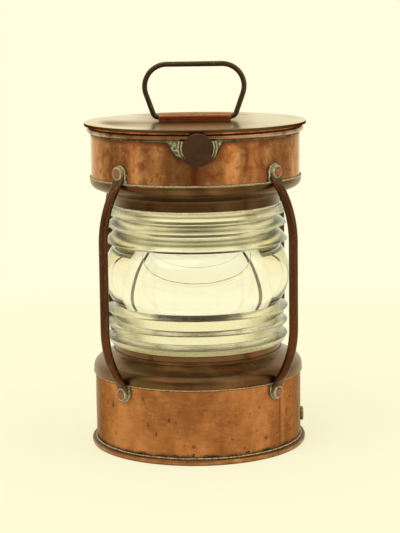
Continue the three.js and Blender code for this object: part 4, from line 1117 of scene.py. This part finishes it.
def bail_stations():
    """Centre line of the bail's right half, from inside the keeper up and over: x, z and heading."""
    corner_x, corner_z = BAIL_HALF - BAIL_CORNER, BAIL_TOP - BAIL_CORNER
    leg_x = corner_x + BAIL_CORNER * math.cos(BAIL_LEAN)
    leg_z = corner_z - BAIL_CORNER * math.sin(BAIL_LEAN)
    meet = leg_x - (leg_z - BAIL_AXIS) * math.tan(BAIL_LEAN)
    turn = math.pi / 2 - BAIL_LEAN
    foot, split = meet - BAIL_FOOT * math.tan(turn / 2), 0.6
    stations = [(split + (foot - split) * i / 6, BAIL_AXIS, 0) for i in range(6)]
    stations += bent(foot, BAIL_AXIS + BAIL_FOOT, BAIL_FOOT, 0, turn, 10)
    x, z, _ = stations[-1]
    stations += [(x + (leg_x - x) * i / 6, z + (leg_z - z) * i / 6, turn) for i in range(1, 6)]
    return stations + bent(corner_x, corner_z, BAIL_CORNER, turn, math.pi, 28)


def make_bail():
    half, sides = bail_stations(), 24
    path = half + [(-x, z, -heading) for x, z, heading in reversed(half)]
    rings = []
    for i, (x, z, heading) in enumerate(path):
        radius = BAIL_WIRE - (0.4 if i in (0, len(path) - 1) else 0)
        radius -= 0.06 * (1 + noise.noise(Vector((x / 7, 3.3, z / 7))))
        ring = []
        for j in range(sides):
            turn = TAU * j / sides
            up, back = radius * math.cos(turn), radius * math.sin(turn)
            ring.append(Vector((x - up * math.sin(heading), back, z + up * math.cos(heading))))
        rings.append(ring)
    piece("bail_loop", skinned(rings), "bail", "bail", "bail", sharp=60)


# ---- Catch, hinge, gland and lamp ------------------------------------------------------------------------

def make_catch():
    place = outward(0, CATCH_HEIGHT)
    socket = KNOB_BACK + KNOB_SOCKET
    knob = filleted([
        (0, socket), (2.65, socket), (2.65, KNOB_BACK, 0.2), (KNOB_RADIUS, KNOB_BACK, 0.7),
        (KNOB_RADIUS, KNOB_FACE, 1.1), (0, KNOB_FACE),
    ])
    lumps = dents(7, 0.22, 4)

    def warp(turn, radius, along):
        ahead = lumps(turn, radius, along + 9)[0] if along > KNOB_BACK + 4 else 0
        return lumps(turn, radius, along)[0] * 0.6, ahead
    turned("knob_disc", knob, "knob", "knob", "catch_knob", "catch", longest=3, closed=False, place=place,
           segments=96, warp=warp)

    end, lip = KNOB_BACK - BARREL_LIP_HEIGHT, FLANGE_FACE + GAP
    barrel = filleted([
        (BARREL_BORE, KNOB_BACK - 3), (BARREL_RADIUS, KNOB_BACK - 3), (BARREL_RADIUS, lip),
        (BARREL_LIP, lip), (BARREL_LIP, end, 0.5), (BARREL_BORE, end, 0.3),
    ], 0.1)
    turned("barrel_tube", barrel, "patina", "base_patina", "catch_barrel", place=place, segments=64)

    near, far, tip = WALL_RADIUS + FIT, WALL_RADIUS + FIT + BOLT_COLLAR_HEIGHT, socket - GAP
    bolt = filleted([
        (0, BOLT_NOSE), (BOLT_RADIUS, BOLT_NOSE, 1.2), (BOLT_RADIUS, near), (BOLT_COLLAR, near),
        (BOLT_COLLAR, far), (BOLT_RADIUS, far), (BOLT_RADIUS, tip), (0, tip),
    ], 0.2)
    turned("bolt_bar", bolt, "steel", "steel", "catch_bolt", "catch", closed=False, place=place, segments=48)


def make_spring():
    """A coil between the bolt's collar and the end of the barrel."""
    low, high = span("catch_spring")
    near, far = -high.y, -low.y
    coil = (high.x - low.x) / 2 - SPRING_WIRE
    place = outward(0, CATCH_HEIGHT)
    steps, sides = 24 * SPRING_TURNS, 10
    rings = []
    for i in range(steps + 1):
        turn = TAU * SPRING_TURNS * i / steps
        out = near + SPRING_WIRE + (far - near - 2 * SPRING_WIRE) * i / steps
        wire = arc((coil, out), SPRING_WIRE, SPRING_WIRE, 0, TAU, sides)[:-1]
        rings.append([place(radius, along, turn) for radius, along in wire])
    made = piece("spring_coil", skinned(rings), "steel", "catch_spring", body=None, sharp=60)
    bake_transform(made)


def make_flange():
    """A disc whose back follows the drum, cut off level under the rim ring."""
    face, steps = FLANGE_FACE, 120
    front = [(radius, face) for radius in (BARREL_RADIUS, 9, 13, 15.4)]
    edge = [(16.4, face - 0.25), (FLANGE_RADIUS, face - 1.0)]
    rear = [(radius, None) for radius in (FLANGE_RADIUS, 13, 9, BARREL_RADIUS)]
    rings = []
    for i in range(steps):
        turn = TAU * i / steps
        ring = []
        for radius, out in front + edge + rear:
            side = radius * math.cos(turn)
            height = min(CATCH_HEIGHT + radius * math.sin(turn), RIM_BOTTOM - GAP)
            away = math.sqrt((WALL_RADIUS + GAP) ** 2 - side ** 2)
            if out:
                rough = 0.25 * noise.noise(Vector((side / 2.2, height / 2.2, 4)))
                away = max(away + 0.4, out + min(0, rough))
            ring.append(at(0, away, side, height))
        rings.append(ring)
    piece("flange_disc", skinned(rings, loop=True), "flange", "catch_flange")


def make_hinge():
    softened("hinge_wall_leaf", "base_patina")
    softened("hinge_lid_leaf", "base_patina", "lid")
    softened("lid_tongue", "brass", "lid")
    low, high = span("hinge_pin")
    shank = PIN_END - HINGE_HEAD
    pin = filleted([
        (0, -PIN_END), (PIN_HEAD, -PIN_END, 0.5), (PIN_HEAD, -shank, 0.2), (PIN_RADIUS, -shank),
        (PIN_RADIUS, shank), (PIN_HEAD, shank, 0.2), (PIN_HEAD, PIN_END, 0.5), (0, PIN_END),
    ])
    turned("hinge_pin_bar", pin, "brass", "brass", "hinge_pin", closed=False, segments=40,
           place=crosswise((low.y + high.y) / 2, (low.z + high.z) / 2))
    for side, x in HINGE_RIVETS.items():
        low, high = span(f"hinge_rivet_{side}")
        near, far = low.y + HINGE_HEAD, high.y - HINGE_HEAD
        rivet = filleted([
            (0, low.y), (2.8, low.y), (2.8, near), (1.5, near, 0), (1.5, far, 0), (2.8, far, 0.1),
            (2.3, high.y - 0.2, 0.6), (0, high.y),
        ], 0.2)
        turned(f"hinge_rivet_head_{side}", rivet, "rivet", "rivet", f"hinge_rivet_{side}", closed=False,
               segments=36, place=lengthwise(x, (low.z + high.z) / 2))


def make_gland():
    face, wall = span("cable_gland")[1].x, WALL_RADIUS + FIT
    gland = filleted([
        (GLAND_BORE, face - GLAND_LENGTH), (GLAND_RADIUS, face - GLAND_LENGTH), (GLAND_RADIUS, wall, 0.1),
        (GLAND_LIP, wall), (GLAND_LIP, face, 0.9), (GLAND_BORE, face, 0.5),
    ], 0.15)
    turned("gland_tube", gland, "brass", "brass", "cable_gland", longest=2,
           place=outward(math.pi / 2, GLAND_HEIGHT), segments=64)
    softened("cable_gland_nut", "brass")


def make_lamp():
    plate, foot = PLATE + GAP, PLATE + GAP + 2
    pillar = filleted([
        (PILLAR_BORE, plate), (PILLAR_FOOT, plate), (PILLAR_FOOT, foot, 0.6), (PILLAR_RADIUS, foot, 1.5),
        (PILLAR_RADIUS, PILLAR_TOP, 0.4), (PILLAR_BORE, PILLAR_TOP),
    ], 0.2)
    turned("lamp_pillar_tube", pillar, "brass", "brass", "lamp_pillar", longest=5, segments=64)
    bottom, inside = PILLAR_TOP + GAP, HOLDER_RADIUS - HOLDER_SHEET
    top, bed = bottom + HOLDER_HEIGHT, bottom + HOLDER_SHEET
    holder = filleted([
        (PILLAR_BORE, bottom), (HOLDER_RADIUS, bottom, 1.2), (HOLDER_RADIUS, top, 0.4), (inside, top, 0.4),
        (inside, bed, 0.6), (PILLAR_BORE, bed),
    ], 0.2)
    turned("holder_shell", holder, "brass", "brass", "lampholder_shell", longest=5, segments=64)
    low, high = heights("lampholder_insulator")
    block = filleted([(0, low), (inside - GAP, low), (inside - GAP, high, 1), (0, high)], 0.5)
    turned("holder_insulator", block, "porcelain", "porcelain", "lampholder_insulator", closed=False,
           segments=64)


# ---- Solder and verdigris --------------------------------------------------------------------------------

def make_crusts():
    skirt = SKIRT_RADIUS - 1.2
    for name, slot, bead, lumps in (
        ("foot", "copper_bead", half_round(WALL_RADIUS - 0.3, 1.1, FOOT_HEIGHT - 0.5, 1.3), (9.0, 0.20, 3)),
        ("base_skirt", "patina", half_round(skirt, 1.45, BASE_SKIRT_BOTTOM - 0.45, 0.9), (9.0, 0.18, 5)),
        ("top_skirt", "patina", half_round(skirt, 1.5, TOP_SKIRT_TOP - 0.7, 1.3), (6.0, 0.16, 6)),
    ):
        turned(f"{name}_solder", bead, slot, "solder", segments=480, warp=crumbs(*lumps))
    ring = arc((4.7, EYE_RADIUS_OUT + EYE_THICKNESS / 2), 1.0, 0.75, 0, TAU, 12)[:-1]
    for corner, degrees in CORNERS.items():
        azimuth = math.radians(degrees)
        for level, height, up in (("lower", LOW_RIVET, -1), ("upper", HIGH_RIVET, 1)):
            make_eye_crust(f"eye_crust_{level}_{corner}", azimuth, height, up)
            turned(f"rivet_crust_{level}_{corner}", ring, "rivet", "verdigris", segments=48,
                   place=outward(azimuth, height), warp=crumbs(1.6, 0.35, azimuth * 5 + height))


def make_eye_crust(name, azimuth, height, up):
    """Crust along the edge of an eye, where it meets the wall."""
    path = [
        (EYE_RADIUS, -6.0), (EYE_RADIUS, -3.0), *arc((0, 0), EYE_RADIUS, EYE_RADIUS, 0, math.pi, 36),
        (-EYE_RADIUS, -3.0), (-EYE_RADIUS, -6.0),
    ]
    rings = []
    for i, (side, rise) in enumerate(path):
        normal = Vector((side, max(rise, 0))).normalized()
        size = 0.65 + 0.5 * noise.noise(Vector((side / 2.5, rise / 2.5, azimuth * 7 + height)))
        if i in (0, len(path) - 1):
            size = 0.1
        ring = []
        for j in range(12):
            turn = TAU * j / 12
            push = normal * (size * math.cos(turn) * 1.1)
            lump = 1 + 0.35 * noise.noise(Vector((side + j, rise, height)))
            out = WALL_RADIUS + 0.4 + size * math.sin(turn) * 1.1 * lump
            ring.append(at(azimuth, out, side + push.x, height + up * (rise + push.y)))
        rings.append(ring)
    piece(name, skinned(rings), "verdigris")


# ---- Stage -----------------------------------------------------------------------------------------------

CREAM = (1.0, 0.987, 0.738)
TABLE = (1.0, 0.948, 0.652)
FLOOR_RINGS = (0, 120, 250, 400, 600, 850, 1100)
PANELS = (
    (-180, 1.15), (-142, 1.1), (-118, 0.75), (-98, 0.45), (-88, 0.65), (-80, 0.68), (-75, 1.0), (-67, 0.95),
    (-61, 0.62), (-52, 0.60), (-44, 0.84), (-37, 0.58), (-31, 0.36), (-12, 0.34), (-4, 0.27), (4, 0.42),
    (16, 0.56), (28, 0.64), (33, 1.3), (43, 1.2), (50, 0.75), (57, 0.62), (62, 1.0), (68, 0.95), (73, 0.62),
    (84, 0.80), (96, 0.55), (120, 0.60), (140, 1.0), (180, 1.15),
)


def floor_material():
    """A pale matt table, brightly lit from all round, that passes into the plain background."""
    table = Finish("floor", (0.765, 0.748, 0.69), 0.6, 0.0)
    table.shader.inputs["Specular IOR Level"].default_value = 0.0
    away = table.distance(table.x, table.y)
    far = table.rise(away, 500, 1000)
    glow = table.node("ShaderNodeEmission", {
        "Color": table.blend(far, (*TABLE, 1), CREAM), "Strength": table.blend(far, 1.03, 1.0),
    })
    glowing = table.blend(table.rise(away, 240, 620), 0.68, 1.0)
    mixed = table.node("ShaderNodeMixShader", {0: glowing, 1: table.shader.outputs[0], 2: glow.outputs[0]})
    table.put(table.output().inputs["Surface"], mixed.outputs[0])
    return table.done()


def make_stage():
    mesh = meshed("floor", lathed([(radius, 0) for radius in FLOOR_RINGS], closed=False, segments=96))
    mesh.materials.append(floor_material())
    floor = placed("floor", mesh)


def make_world():
    """Plain background. Shiny surfaces see a dimmer room with bright upright panels in it, each given by its
    bearing and its brightness."""
    world = bpy.data.worlds.new("room")
    bpy.context.scene.world = world
    world.use_nodes = True
    world.node_tree.nodes.clear()
    room = Graph(world.node_tree)
    path = room.node("ShaderNodeLightPath").outputs
    seen_plain = path["Is Camera Ray"]
    brighter = room.node("ShaderNodeMapRange", {"Value": seen_plain, "To Min": 1.06, "To Max": 1.0})
    plain = room.node("ShaderNodeBackground", {"Color": (*CREAM, 1), "Strength": brighter.outputs["Result"]})
    looking = room.node("ShaderNodeTexCoord").outputs["Generated"]
    x, y, _ = room.node("ShaderNodeSeparateXYZ", {0: looking}).outputs
    turn = room.math("ARCTAN2", x, room.product(y, -1))
    share = room.node("ShaderNodeMapRange", {"Value": turn, "From Min": -math.pi, "From Max": math.pi})
    ramp = room.node("ShaderNodeValToRGB", {0: share.outputs["Result"]})
    ramp.color_ramp.interpolation = "EASE"
    elements = ramp.color_ramp.elements
    while len(elements) < len(PANELS):
        elements.new(0.5)
    for element, (degrees, level) in zip(elements, PANELS):
        element.position = (degrees + 180) / 360
        element.color = (*[channel * level for channel in CREAM], 1)
    seen = room.node("ShaderNodeBackground", {"Color": ramp.outputs["Color"]})
    metal_only = path["Is Glossy Ray"]
    for glass_ray in ("Is Transmission Ray", "Is Singular Ray"):
        metal_only = room.math("SUBTRACT", metal_only, path[glass_ray], clamp=True)
    mixed = room.node("ShaderNodeMixShader", {0: metal_only, 1: plain.outputs[0], 2: seen.outputs[0]})
    room.node("ShaderNodeOutputWorld", {"Surface": mixed.outputs[0]})


def make_lights():
    for name, strength, spread, azimuth, elevation in (
        ("key", 0.9, 50, -35, 55),
        ("fill", 0.35, 70, 60, 40),
    ):
        data = bpy.data.lights.new(name, "SUN")
        data.energy = strength
        data.angle = math.radians(spread)
        data.color = (1.0, 0.985, 0.93)
        placed(name, data).rotation_euler = (math.radians(90 - elevation), 0, math.radians(azimuth))


# ---- The scene -------------------------------------------------------------------------------------------

bpy.context.scene.view_settings.view_transform = "Standard"
make_camera()
make_drums()
make_lens()
make_rods()
make_lid()
make_keeper()
make_bail()
make_catch()
make_flange()
make_spring()
make_hinge()
make_gland()
make_lamp()
make_crusts()
make_stage()
make_world()
make_lights()
